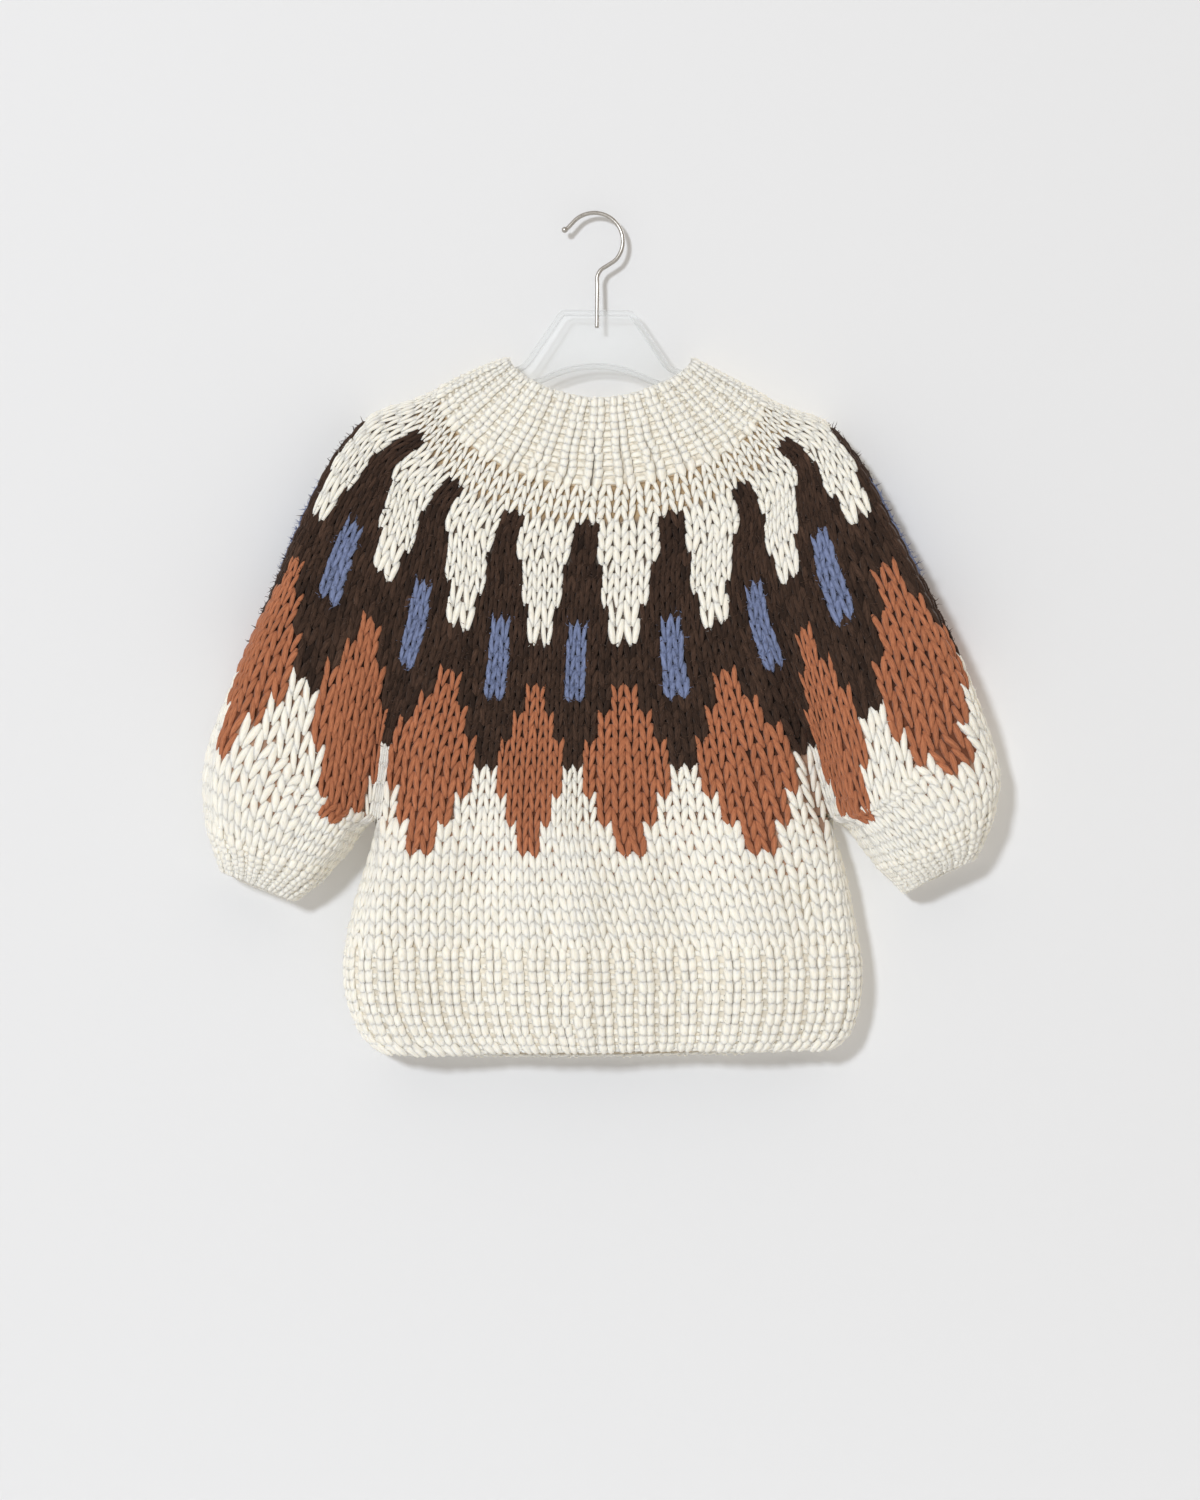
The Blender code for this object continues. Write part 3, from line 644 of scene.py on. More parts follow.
    def body(self) -> ClothSurface:
        """The body's face."""
        column = np.arange(BODY_COLUMNS)
        front = (column - BODY_QUARTER) * STITCH_TURN
        back = 180.0 + (column - 3 * BODY_QUARTER) * STITCH_TURN
        angles = np.where(column <= BODY_COLUMNS // 2, front, back)
        return self.tube(angles, BODY_SECTIONS, (0, BODY_COLUMNS // 2), 1.0)

    def sleeve(self, side: float, sections: tuple[Section, ...]) -> ClothSurface:
        """A sleeve's face: its first column runs down the outer folded edge."""
        column = np.arange(SLEEVE_COLUMNS)
        front = 90.0 - STITCH_TURN * column
        back = 90.0 + STITCH_TURN * (SLEEVE_COLUMNS - column)
        angles = side * np.where(column <= SLEEVE_COLUMNS // 2, front, back)
        return self.tube(angles, sections, (SLEEVE_COLUMNS // 2,), -side)


@dataclass(frozen=True)
class RowPlan:
    """How a stretch of the yoke's rows is divided, from one brown line to the next.

    Attributes:
        last: The first row after the stretch.
        stitches: Stitches in one repeat.
        motif: Stitches of the tooth or diamond in the middle of the repeat.
        share: The motif's share of the repeat's width, or 0 for even stitches.
        yarn: The motif's yarn.
        ground: The yarn on both sides of it.
    """

    last: int
    stitches: int
    motif: int
    share: float
    yarn: Yarn
    ground: Yarn


@dataclass(frozen=True)
class Chart:
    """The colour chart of one repeat, and where each row of stitches lies.

    Each repeat has a cream tooth above a rust diamond, with a brown zigzag between
    them and a blue bar on the brown line. `row_knots` pairs a stitch row with its
    row on the form.
    """

    plans: tuple[RowPlan, ...] = (
        RowPlan(3, 5, 0, 0.0, Yarn.CREAM, Yarn.CREAM),
        RowPlan(6, 6, 4, 0.70, Yarn.CREAM, Yarn.BROWN),
        RowPlan(9, 8, 4, 0.53, Yarn.CREAM, Yarn.BROWN),
        RowPlan(11, 8, 2, 0.33, Yarn.CREAM, Yarn.BROWN),
        RowPlan(14, 8, 0, 0.0, Yarn.BROWN, Yarn.BROWN),
        RowPlan(16, 8, 2, 0.0, Yarn.RUST, Yarn.BROWN),
        RowPlan(18, 8, 4, 0.0, Yarn.RUST, Yarn.BROWN),
        RowPlan(20, 8, 6, 0.0, Yarn.RUST, Yarn.BROWN),
        RowPlan(22, 8, 6, 0.0, Yarn.RUST, Yarn.CREAM),
        RowPlan(24, 8, 4, 0.0, Yarn.RUST, Yarn.CREAM),
        RowPlan(26, 8, 2, 0.0, Yarn.RUST, Yarn.CREAM),
        RowPlan(99, 8, 0, 0.0, Yarn.CREAM, Yarn.CREAM),
    )
    blue_first: int = 10
    blue_last: int = 14
    row_knots: tuple[tuple[float, float], ...] = (
        (0.0, 0.0),
        (3.0, 2.7),
        (6.0, 5.6),
        (9.0, 8.4),
        (11.0, 10.7),
        (14.0, 13.6),
        (26.0, 25.2),
        (33.0, 32.0),
    )

    def plan(self, row: int) -> RowPlan:
        """The plan that holds a stitch row."""
        return next(plan for plan in self.plans if row < plan.last)

    def line(self, row: np.ndarray) -> np.ndarray:
        """The form's row at a stitch row, by straight lines between the known pairs."""
        knots = np.array(self.row_knots)
        return np.interp(row, knots[:, 0], knots[:, 1])

    def stitch_row(self, row: float) -> int:
        """The stitch row at one of the form's rows, read the other way."""
        knots = np.array(self.row_knots)
        return int(np.clip(np.floor(np.interp(row, knots[:, 1], knots[:, 0])), 0, PLAIN_ROW))

    def yarns(self, row: int, index: np.ndarray) -> np.ndarray:
        """The yarn of each stitch in a repeat: the motif lies within half its width of the middle."""
        plan = self.plan(row)
        away = np.abs(index + 0.5 - 0.5 * plan.stitches)
        found = np.where(away < 0.5 * plan.motif, plan.yarn.value, plan.ground.value)
        if self.blue_first <= row <= self.blue_last:
            found = np.where((index == 0) | (index == plan.stitches - 1), Yarn.BLUE.value, found)
        return found

    def edges(self, row: int) -> np.ndarray:
        """The sides of a repeat's stitches, as shares of its width: even in the motif and beside it."""
        plan = self.plan(row)
        if not plan.share:
            return np.linspace(0.0, 1.0, plan.stitches + 1)
        beside = (plan.stitches - plan.motif) // 2
        start, end = 0.5 - 0.5 * plan.share, 0.5 + 0.5 * plan.share
        return np.concatenate(
            [
                np.linspace(0.0, start, beside + 1),
                np.linspace(start, end, plan.motif + 1)[1:],
                np.linspace(end, 1.0, beside + 1)[1:],
            ]
        )


@dataclass
class StitchField:
    """Where stitches lie: each one's middle column, width in columns, top and bottom row, and yarn."""

    column: np.ndarray
    wide: np.ndarray
    top: np.ndarray
    bottom: np.ndarray
    yarn: np.ndarray

    @staticmethod
    def line(column: Any, wide: Any, top: Any, bottom: Any, yarn: Any) -> "StitchField":
        """One row of stitches, where a single number serves them all."""
        return StitchField(*np.broadcast_arrays(column, wide, top, bottom, yarn))

    @staticmethod
    def joined(fields: list["StitchField"]) -> "StitchField":
        """Several fields as one."""
        columns = zip(*(vars(one).values() for one in fields))
        return StitchField(*(np.concatenate(values) for values in columns))

    def where(self, chosen: np.ndarray) -> "StitchField":
        """The chosen stitches alone."""
        return StitchField(*(values[chosen] for values in vars(self).values()))


@dataclass
class YarnMesh:
    """Points, faces and the yarn's own coordinates of many short lengths of yarn."""

    points: np.ndarray
    quads: np.ndarray
    triangles: np.ndarray
    along: np.ndarray
    shade: np.ndarray

    @staticmethod
    def joined(parts: list["YarnMesh"]) -> "YarnMesh":
        """Several meshes as one, with their faces renumbered."""
        starts = np.cumsum([0] + [len(part.points) for part in parts])
        moved = [
            (part.points, part.quads + start, part.triangles + start, part.along, part.shade)
            for part, start in zip(parts, starts)
        ]
        return YarnMesh(*(np.concatenate(arrays) for arrays in zip(*moved)))

    def to_object(self, name: str, material: bpy.types.Material) -> bpy.types.Object:
        """A mesh object with the yarn's coordinates as attributes."""
        attributes = {"yarn_place": self.along, "stitch_shade": self.shade}
        return mesh_object(name, self.points, [self.quads, self.triangles], material, attributes)


@dataclass(frozen=True)
class YarnBuild:
    """How finely each length of yarn is made, and how its fibres stand off it.

    Attributes:
        sides: Corners round the yarn.
        rings: Rings along it.
        hairs: Fibres on each length.
        hair_length: The shortest and longest fibre, in metres.
        hair_radius: Half a fibre's thickness at its root, in metres.
        bent: Whether each fibre bends at its middle.
        wild: How far the fibres stray from the yarn's own way out.
        plump: How thick the yarn is, as a share of its usual thickness.
        full: The power of the swell along a leg: low for an even thickness.
        deep: The yarn's depth as a share of its width.
        arch: How far a leg rises and dips, in metres.
    """

    sides: int = 5
    rings: int = 5
    hairs: float = 3.0
    hair_length: tuple[float, float] = (0.9 * MM, 3.4 * MM)
    hair_radius: float = 0.13 * MM
    bent: bool = False
    wild: float = 0.55
    plump: float = 1.0
    full: float = 0.7
    deep: float = 0.86
    arch: float = 1.55 * MM


@dataclass
class Knitter:
    """Lays yarn on a face of cloth.

    Attributes:
        surface: The face that the yarn lies on.
        build: How finely the yarn is made.
        random: The seeded source of unevenness.
        yarn_radius: Half the yarn's thickness.
        open_rows: The first and last of the loose rows under the neckband.
        open_share: How thick the yarn is there, which leaves holes between the stitches.
        sunk: How deep the yarn's middle lies below the face.
    """

    surface: ClothSurface
    build: YarnBuild
    random: np.random.Generator
    yarn_radius: float = 2.75 * MM
    open_rows: tuple[float, float] = (0.0, 2.6)
    open_share: float = 0.80
    full_width: float = 12.0 * MM
    sunk: float = 2.1 * MM
    top_reach: float = 0.12
    bottom_reach: float = 0.24
    top_spread: float = 0.38
    foot_spread: float = 0.125
    blunt: float = 0.55
    long_shift: float = 400.0

    def tubes(self, column: np.ndarray, row: np.ndarray, lift: np.ndarray, radius: np.ndarray) -> YarnMesh:
        """Short lengths of yarn along paths on the face.

        A path's points are the face's points moved along its normals by the lift.
        Round each point lies a ring of corners, wider across than deep, and each
        end closes in a blunt point half a radius further on.

        Args:
            column: Each path's columns, lengths by rings.
            row: Its rows, the same shape.
            lift: How far each point stands off the face, in metres.
            radius: Half the yarn's thickness at each point, in metres.

        Returns:
            The lengths' mesh, with fibres.
        """
        count, rings = column.shape
        sides = self.build.sides
        points, normals = self.surface.place(column, row)
        points = points + normals * lift[..., None]
        forward = unit(np.gradient(points, axis=1))
        across = unit(np.cross(forward, normals))
        above = np.cross(across, forward)
        cos, sin = np.cos(circle(sides)), np.sin(circle(sides))
        across, above = across[:, :, None, :], above[:, :, None, :]
        outward = across * cos[:, None] + above * sin[:, None] * self.build.deep
        skin = points[:, :, None, :] + outward * radius[..., None, None]
        first = points[:, 0] - forward[:, 0] * radius[:, :1] * self.blunt
        last = points[:, -1] + forward[:, -1] * radius[:, -1:] * self.blunt
        run = distances(points) / self.yarn_radius + self.random.uniform(0.0, self.long_shift, (count, 1))
        ring_place = np.stack(np.broadcast_arrays(cos, sin, run[..., None]), axis=-1)
        end_place = np.zeros((count, 2, 3))
        end_place[..., 2] = run[:, [0, -1]]
        stride = rings * sides + 2
        everything = np.concatenate([skin.reshape(count, -1, 3), first[:, None], last[:, None]], axis=1)
        places = np.concatenate([ring_place.reshape(count, -1, 3), end_place], axis=1)
        here = np.arange(rings * sides).reshape(rings, sides)
        after = np.roll(here, -1, axis=1)
        quads = np.stack([here[:-1], after[:-1], after[1:], here[1:]], axis=-1).reshape(-1, 4)
        start_fan = np.stack([after[0], here[0], np.full(sides, stride - 2)], axis=-1)
        end_fan = np.stack([here[-1], after[-1], np.full(sides, stride - 1)], axis=-1)
        fans = np.concatenate([start_fan, end_fan])
        offset = (np.arange(count) * stride)[:, None, None]
        tint = self.random.normal(0.0, 1.0, count)
        made = YarnMesh(
            everything.reshape(-1, 3),
            (quads[None] + offset).reshape(-1, 4),
            (fans[None] + offset).reshape(-1, 3),
            places.reshape(-1, 3),
            np.repeat(tint, stride),
        )
        return YarnMesh.joined([made, self.fibres(skin, outward, normals, forward, run, tint)])

    def fibres(self, skin: np.ndarray, outward: np.ndarray, *along: np.ndarray) -> YarnMesh:
        """Loose fibres on the lengths of yarn, each a needle of three sides.

        A fibre starts on the skin, leaves it along the skin's own way out mixed with
        a seeded random way and the yarn's, and, where its build is bent, bends at its middle.

        Args:
            skin: The yarn's corners, lengths by rings by sides by three.
            outward: The way out at each corner.
            along: At each ring the cloth's way out, the yarn's way and its length so far, and
                each length's shade.

        Returns:
            The fibres' mesh.
        """
        normals, forward, run, tint = along
        count, rings, sides, _ = skin.shape
        total = int(count * self.build.hairs)
        length = self.random.integers(0, count, total)
        ring = self.random.integers(0, rings, total)
        side = self.random.integers(0, (sides + 1) // 2, total)
        root = skin[length, ring, side]
        way = unit(
            unit(outward[length, ring, side])
            + self.build.wild * self.random.normal(0.0, 1.0, (total, 3))
            + 0.6 * normals[length, ring]
            + 0.4 * forward[length, ring] * self.random.choice([-1.0, 1.0], (total, 1))
        )
        low, high = self.build.hair_length
        reach = low + (high - low) * self.random.uniform(0.0, 1.0, total) ** 2.2
        bend = unit(way + 0.75 * self.random.normal(0.0, 1.0, (total, 3)))
        middle = root + way * reach[:, None] * 0.5
        tip = middle + bend * reach[:, None] * 0.5
        one = unit(np.cross(way, self.random.normal(0.0, 1.0, (total, 3))))
        two = np.cross(way, one)
        turns = circle(3)[:, None]
        spread = one[:, None] * np.cos(turns) + two[:, None] * np.sin(turns)
        base = root[:, None] + spread * self.build.hair_radius
        if self.build.bent:
            knee = middle[:, None] + spread * self.build.hair_radius * 0.7
            points = np.concatenate([base, knee, tip[:, None]], axis=1)
            quads = np.array([[0, 1, 4, 3], [1, 2, 5, 4], [2, 0, 3, 5]])
            triangles = np.array([[3, 4, 6], [4, 5, 6], [5, 3, 6], [2, 1, 0]])
        else:
            points = np.concatenate([base, tip[:, None]], axis=1)
            quads = np.zeros((0, 4), int)
            triangles = np.array([[0, 1, 3], [1, 2, 3], [2, 0, 3], [2, 1, 0]])
        stride = points.shape[1]
        offset = (np.arange(total) * stride)[:, None, None]
        place = np.zeros((total, stride, 3))
        place[:, :, 2] = run[length, ring][:, None]
        return YarnMesh(
            points.reshape(-1, 3),
            (quads[None] + offset).reshape(-1, 4),
            (triangles[None] + offset).reshape(-1, 3),
            place.reshape(-1, 3),
            np.repeat(tint[length] + self.random.uniform(0.3, 2.6, total), stride),
        )

    def plain(self, stitches: StitchField, lift: float = 0.0) -> YarnMesh:
        """Plain stitches: two legs each, far apart at the top and together at the foot.

        A leg's sideways place eases from the spread to the foot, its height is a half
        sine that dives under the stitch above, and its thickness is fullest two fifths
        of the way down.

        Args:
            stitches: Where they lie.
            lift: How far they stand above the face's usual yarn, in metres.

        Returns:
            The stitches' mesh.
        """
        count = len(stitches.column)
        share = np.linspace(0.0, 1.0, self.build.rings)[None, :]
        tall = (stitches.bottom - stitches.top)[:, None]
        wide = stitches.wide[:, None]
        middle = stitches.column[:, None] + self.random.normal(0.0, 0.035, (count, 1)) * wide
        drop = self.random.normal(0.0, 0.045, (count, 1)) * tall
        true_width = self.surface.stitch_width(stitches.column, stitches.top, stitches.wide)[:, None]
        size = np.clip(true_width / self.full_width, 0.62, 1.12) * self.yarn_radius * self.build.plump
        first, last = self.open_rows
        loose = (stitches.top >= first) & (stitches.top < last)
        size = size * np.where(loose, self.open_share, 1.0)[:, None]
        size = size * (1.0 + self.random.normal(0.0, 0.06, (count, 1)))
        meshes = []
        for side in (-1.0, 1.0):
            lean = self.random.normal(0.0, 0.02, (count, 1)) * wide
            ease = smooth_step(share * 0.92 + 0.04)
            away = self.top_spread + (self.foot_spread - self.top_spread) * ease
            column = middle + side * away * wide + lean * (1.0 - share)
            start = stitches.top[:, None] - self.top_reach * tall + drop
            row = start + share * tall * (1.0 + self.top_reach + self.bottom_reach)
            arch = half_sine(share, 0.16, 0.76) - 0.75 * (1.0 - share) ** 3
            height = -self.sunk + lift + (arch - 0.62) * self.build.arch
            thick = half_sine(share, 0.26, 0.62) ** self.build.full
            meshes.append(self.tubes(column, row, height + np.zeros_like(column), size * thick))
        return YarnMesh.joined(meshes)

    def purl(self, stitches: StitchField, bead: float, depth: float = 0.5 * MM) -> YarnMesh:
        """Purl stitches: a low bead across each, arched down at both ends.

        Args:
            stitches: Where they lie.
            bead: Half the bead's thickness where the stitches are widest, in metres.
            depth: How far below the plain yarn they lie, in metres.

        Returns:
            The beads' mesh.
        """
        count = len(stitches.column)
        share = np.linspace(-1.0, 1.0, self.build.rings)[None, :]
        tall = (stitches.bottom - stitches.top)[:, None]
        middle = 0.5 * (stitches.top + stitches.bottom)[:, None]
        column = stitches.column[:, None] + share * stitches.wide[:, None] * 0.62
        row = middle + 0.20 * tall * share**2 + self.random.normal(0.0, 0.05, (count, 1)) * tall
        height = -self.sunk - depth - 0.8 * MM * share**2
        true_width = self.surface.stitch_width(stitches.column, stitches.top, stitches.wide)[:, None]
        size = np.clip(true_width / (6.0 * MM), 0.75, 1.0) * bead
        size = size * (1.0 + self.random.normal(0.0, 0.06, (count, 1)))
        thick = np.cos(0.5 * math.pi * share * 0.72) ** 0.5
        return self.tubes(column, row, height + np.zeros_like(column), size * thick)

    def bound_edge(self, columns: float, stitches: int, row: float, sign: float) -> YarnMesh:
        """The chain along a closed edge: a bead for each stitch, each lying over the next.

        Args:
            columns: The face's columns once round.
            stitches: How many beads.
            row: The edge's row.
            sign: 1 for a lower edge and -1 for an upper one.

        Returns:
            The chain's mesh.
        """
        share = np.linspace(0.0, 1.0, self.build.rings)[None, :]
        wide = columns / stitches
        start = (np.arange(stitches) * wide)[:, None]
        column = start + wide * (1.35 * share - 0.18)
        row_at = row + sign * (0.05 - 0.16 * half_sine(share, 0.0, 1.0)) + np.zeros_like(column)
        row_at = row_at + self.random.normal(0.0, 0.04, (stitches, 1))
        height = -self.sunk - 0.9 * MM + 1.3 * MM * (0.5 - share) + np.zeros_like(column)
        thick = self.yarn_radius * 0.98 * half_sine(share, 0.18, 0.64) ** 0.6
        return self.tubes(column, row_at, height, thick + np.zeros_like(column))


class Paint:
    """A new material's nodes, with short ways to set, add and join them."""

    def __init__(self, name: str, inputs: dict[str, Any]) -> None:
        """Starts a material from its usual shader, with these inputs set."""
        self.material = bpy.data.materials.new(name)
        self.material.use_nodes = True
        self.tree = self.material.node_tree
        self.shader = self.tree.nodes["Principled BSDF"]
        self.join(self.shader, inputs)

    def join(self, node: bpy.types.Node, inputs: dict[str | int, Any]) -> None:
        """Sets a node's inputs, each to a node's first output, to a socket or to a plain value.

        Args:
            node: The node.
            inputs: What goes to each input, by its name or number.
        """
        for name, value in inputs.items():
            if isinstance(value, bpy.types.Node):
                value = value.outputs[0]
            if isinstance(value, bpy.types.NodeSocket):
                self.tree.links.new(value, node.inputs[name])
            else:
                node.inputs[name].default_value = value

    def add(self, kind: str, inputs: dict[str | int, Any], **settings: str) -> bpy.types.Node:
        """A new node of a kind, with its settings and inputs."""
        made = self.tree.nodes.new(f"ShaderNode{kind}")
        for name, value in settings.items():
            setattr(made, name, value)
        self.join(made, inputs)
        return made

    def math(self, operation: str, *inputs: Any) -> bpy.types.Node:
        """A node for one operation on numbers."""
        return self.add("Math", dict(enumerate(inputs)), operation=operation)

    def attribute(self, name: str, output: str) -> bpy.types.NodeSocket:
        """One output of a mesh's attribute."""
        return self.add("Attribute", {}, attribute_name=name).outputs[output]

    def blend(self, share: Any, first: Colour, second: Colour) -> bpy.types.NodeSocket:
        """A colour between two others."""
        mixed = self.add("Mix", {"Factor": share, "A": (*first, 1.0), "B": (*second, 1.0)}, data_type="RGBA")
        return mixed.outputs["Result"]

    def scaled(self, colour: Any, level: Any) -> bpy.types.Node:
        """A colour made lighter or darker."""
        return self.add("VectorMath", {"Vector": colour, "Scale": level}, operation="SCALE")

    def bump(self, height: Any, strength: float, distance: float) -> None:
        """Lets the shader's surface follow a height."""
        raised = self.add("Bump", {"Height": height, "Strength": strength, "Distance": distance})
        self.join(self.shader, {"Normal": raised})

    def mix_surface(self, share: Any, first: Any, second: Any) -> None:
        """Makes the surface a mixture of two shaders."""
        mixed = self.add("MixShader", {"Fac": share, 1: first, 2: second})
        self.join(self.tree.nodes["Material Output"], {"Surface": mixed})


@dataclass(frozen=True)
class YarnFinish:
    """A wool yarn: its colours, how uneven its dye is, and how it takes light."""

    name: str
    deep: Colour
    light: Colour
    sheen: float = 0.25
    sheen_tint: Colour = (1.0, 1.0, 1.0)
    roughness: float = 0.92
    bump: float = 0.55
    uneven: float = 0.045
    glow: float = 0.0
    drawn_out: Point = (2.6, 2.6, 0.32)
    plies: float = 3.0
    twist: float = 2.2
    ply_height: float = 0.30

    def make(self) -> bpy.types.Material:
        """The yarn's material: fine fibres and plies that follow each length of yarn.

        The colour runs between a deep and a light tone by a noise drawn out along the
        yarn, and each stitch is a little lighter or darker. The plies are the sine of
        three turns round the yarn plus a turn along it.
        """
        light = {
            "Roughness": self.roughness,
            "Specular IOR Level": 0.18,
            "Sheen Weight": self.sheen,
            "Sheen Roughness": 0.45,
            "Sheen Tint": (*self.sheen_tint, 1.0),
        }
        paint = Paint(self.name, light)
        if self.glow:
            spread = {"Subsurface Radius": (1.0, 0.9, 0.75), "Subsurface Scale": 3.0 * MM}
            paint.join(paint.shader, {"Subsurface Weight": self.glow, **spread})
        place = paint.attribute("yarn_place", "Vector")
        drawn_out = paint.add("Mapping", {"Vector": place, "Scale": self.drawn_out})
        fibre = paint.add("TexNoise", {"Vector": drawn_out, "Scale": 1.6, "Detail": 4.0, "Roughness": 0.62})
        tone = paint.add("MapRange", {"Value": fibre, "From Min": 0.28, "From Max": 0.66})
        level = paint.math("MULTIPLY_ADD", paint.attribute("stitch_shade", "Fac"), self.uneven, 1.0)
        dyed = paint.scaled(paint.blend(tone, self.deep, self.light), level)
        paint.join(paint.shader, {"Base Color": dyed})
        split = paint.add("SeparateXYZ", {"Vector": place})
        angle = paint.math("ARCTAN2", split.outputs["Y"], split.outputs["X"])
        along = paint.math("MULTIPLY", split.outputs["Z"], self.twist)
        plies = paint.math("SINE", paint.math("MULTIPLY_ADD", angle, self.plies, along))
        paint.bump(paint.math("MULTIPLY_ADD", plies, self.ply_height, fibre), self.bump, 0.9 * MM)
        return paint.material


@dataclass(frozen=True)
class LiningFinish:
    """The inside of the knitting, coloured by the chart with painted shade, with the bumps of its purl side.
    """

    name: str = "knit_inside_painted_shade"
    roughness: float = 0.95
    bump_height: float = 0.35
    bump: float = 0.9

    def make(self) -> bpy.types.Material:
        """The lining's material: the chart's colour with painted shade, darker still as painted shade in the
        dips of a wave of bumps.

        The bumps are the sum of two cosines, one over the columns and one over the
        rows, with a little noise.
        """
        light = {"Roughness": self.roughness, "Specular IOR Level": 0.12, "Sheen Weight": 0.15}
        paint = Paint(self.name, light)
        place = paint.attribute("knit_place", "Vector")
        split = paint.add("SeparateXYZ", {"Vector": place})
        turns = [paint.math("MULTIPLY", split.outputs[axis], 2.0 * math.pi) for axis in ("X", "Y")]
        bumps = paint.math("ADD", *(paint.math("COSINE", turn) for turn in turns))
        noise = paint.add("TexNoise", {"Vector": place, "Scale": 3.0, "Detail": 3.0})
        height = paint.math("MULTIPLY_ADD", bumps, self.bump_height, noise)
        paint.bump(height, self.bump, 1.6 * MM)
        # Painted shade: the colour darkens where the bumps dip.
        levels = {"From Min": -0.6, "From Max": 1.1, "To Min": 0.72, "To Max": 1.05}
        painted_dip_shade = paint.add("MapRange", {"Value": height, **levels})
        colour = paint.scaled(paint.attribute("lining_colour_and_painted_shade", "Color"), painted_dip_shade)
        paint.join(paint.shader, {"Base Color": colour})
        return paint.material


@dataclass(frozen=True)
class ClearPlasticFinish:
    """Clear moulded plastic: it shows what is behind it, and whitens where it is seen edge on.

    Attributes:
        name: The material's name.
        haze: How white it is where it is seen square on.
        edge: How white it is where it is seen edge on.
        roughness: The least roughness of its gloss.
        wave: How strong the slow waves in its surface are.
        colour: The haze's colour.
    """

    name: str
    haze: float
    edge: float
    roughness: float
    wave: float
    colour: Colour = (0.80, 0.81, 0.81)

    def make(self) -> bpy.types.Material:
        """The plastic's material: a clear layer mixed with a glossy pale one, under slow waves."""
        paint = Paint(self.name, {"Base Color": (*self.colour, 1.0), "IOR": 1.46, "Coat Weight": 0.6})
        clear = paint.add("BsdfTransparent", {"Color": (0.985, 0.99, 0.99, 1.0)})
        edge_on = paint.add("LayerWeight", {"Blend": 0.35}).outputs["Facing"]
        amount = paint.add("MapRange", {"Value": edge_on, "To Min": self.haze, "To Max": self.edge})
        paint.mix_surface(amount, clear, paint.shader)
        place = paint.add("TexCoord", {}).outputs["Object"]
        noise = paint.add("TexNoise", {"Vector": place, "Scale": 70.0, "Detail": 2.0})
        gloss = {"Value": noise, "To Min": self.roughness, "To Max": self.roughness * 2.0}
        paint.join(paint.shader, {"Roughness": paint.add("MapRange", gloss)})
        paint.bump(noise, self.wave, 0.4 * MM)
        return paint.material


@dataclass(frozen=True)
class SteelFinish:
    """Plated steel wire with fine drawn lines."""

    name: str = "plated_steel"
    deep: Colour = (0.34, 0.32, 0.29)
    light: Colour = (0.58, 0.55, 0.51)

    def make(self) -> bpy.types.Material:
        """The wire's material: metal whose tone and roughness follow a fine noise."""
        paint = Paint(self.name, {"Metallic": 1.0})
        place = paint.add("TexCoord", {}).outputs["Object"]
        noise = paint.add("TexNoise", {"Vector": place, "Scale": 420.0, "Detail": 4.0})
        rough = paint.add("MapRange", {"Value": noise, "To Min": 0.18, "To Max": 0.42})
        colour = paint.blend(noise, self.deep, self.light)
        paint.join(paint.shader, {"Base Color": colour, "Roughness": rough})
        return paint.material


@dataclass(frozen=True)
class PaintedShadeBacking:
    """What shows between the stitches of one yarn, down to a last row: its colour, the yarn behind darkened
    and warmed as painted shade in the gaps.
    """

    yarn: Yarn
    last: int
    colour: Colour


# The colours behind the stitches are darker than the yarns themselves: painted shade in the gaps between
# stitches, over the colour of the yarn behind.
PAINTED_SHADE_BACKINGS = (
    PaintedShadeBacking(Yarn.CREAM, 3, (0.50, 0.36, 0.21)),
    PaintedShadeBacking(Yarn.CREAM, 14, (0.21, 0.165, 0.13)),
    PaintedShadeBacking(Yarn.CREAM, 28, (0.40, 0.25, 0.17)),
    PaintedShadeBacking(Yarn.CREAM, 34, (0.63, 0.55, 0.42)),
    PaintedShadeBacking(Yarn.CREAM, 99, (0.80, 0.74, 0.62)),
    PaintedShadeBacking(Yarn.BROWN, 99, (0.018, 0.011, 0.008)),
    PaintedShadeBacking(Yarn.RUST, 20, (0.055, 0.024, 0.015)),
    PaintedShadeBacking(Yarn.RUST, 99, (0.17, 0.06, 0.03)),
    PaintedShadeBacking(Yarn.BLUE, 99, (0.035, 0.028, 0.04)),
)
# The lining's inner face: the cream yarn darkened and warmed as painted shade.
INSIDE_PAINTED_SHADE = (0.66, 0.57, 0.43)


def backing_colour_with_painted_shade(yarn: Yarn, stitch_row: int) -> Colour:
    """The colour behind one yarn's stitches in a row, with painted shade."""
    return next(one.colour for one in PAINTED_SHADE_BACKINGS if one.yarn is yarn and stitch_row < one.last)


def repeat_index(column: np.ndarray, columns: int) -> np.ndarray:
    """A tube column's place in its repeat: the repeats run between the underarms' gussets."""
    half = columns // 2
    first = GUSSET_HALF if columns == BODY_COLUMNS else 0
    return (column - np.where(column < half, first, half + GUSSET_HALF)) % REPEAT_COLUMNS


@dataclass(frozen=True)
class RibPlan:
    """A knit 1, purl 1 rib.

    Attributes:
        first: The form's row at its top.
        last: The form's row at its lower edge.
        rows: Its rows of stitches.
        ribs: Its ribs once round.
        knit_share: The share of a rib's width that the plain stitch fills.
        bead: Half a purl bead's thickness, in metres.
        edge: 1 where the lower edge is bound, and -1 where the upper one is.
    """

    first: float
    last: float
    rows: int
    ribs: int
    knit_share: float
    bead: float
    edge: float


NECK_PLAN = RibPlan(NECK_EDGE_ROW, 0.0, 11, NECK_RIBS, 0.80, 3.0 * MM, -1.0)
HEM_PLAN = RibPlan(HEM_TOP_ROW, HEM_EDGE_ROW, 10, HEM_RIBS, 0.86, 4.0 * MM, 1.0)
CUFF_PLAN = RibPlan(CUFF_TOP_ROW, CUFF_EDGE_ROW, 7, CUFF_RIBS, 0.84, 3.6 * MM, 1.0)


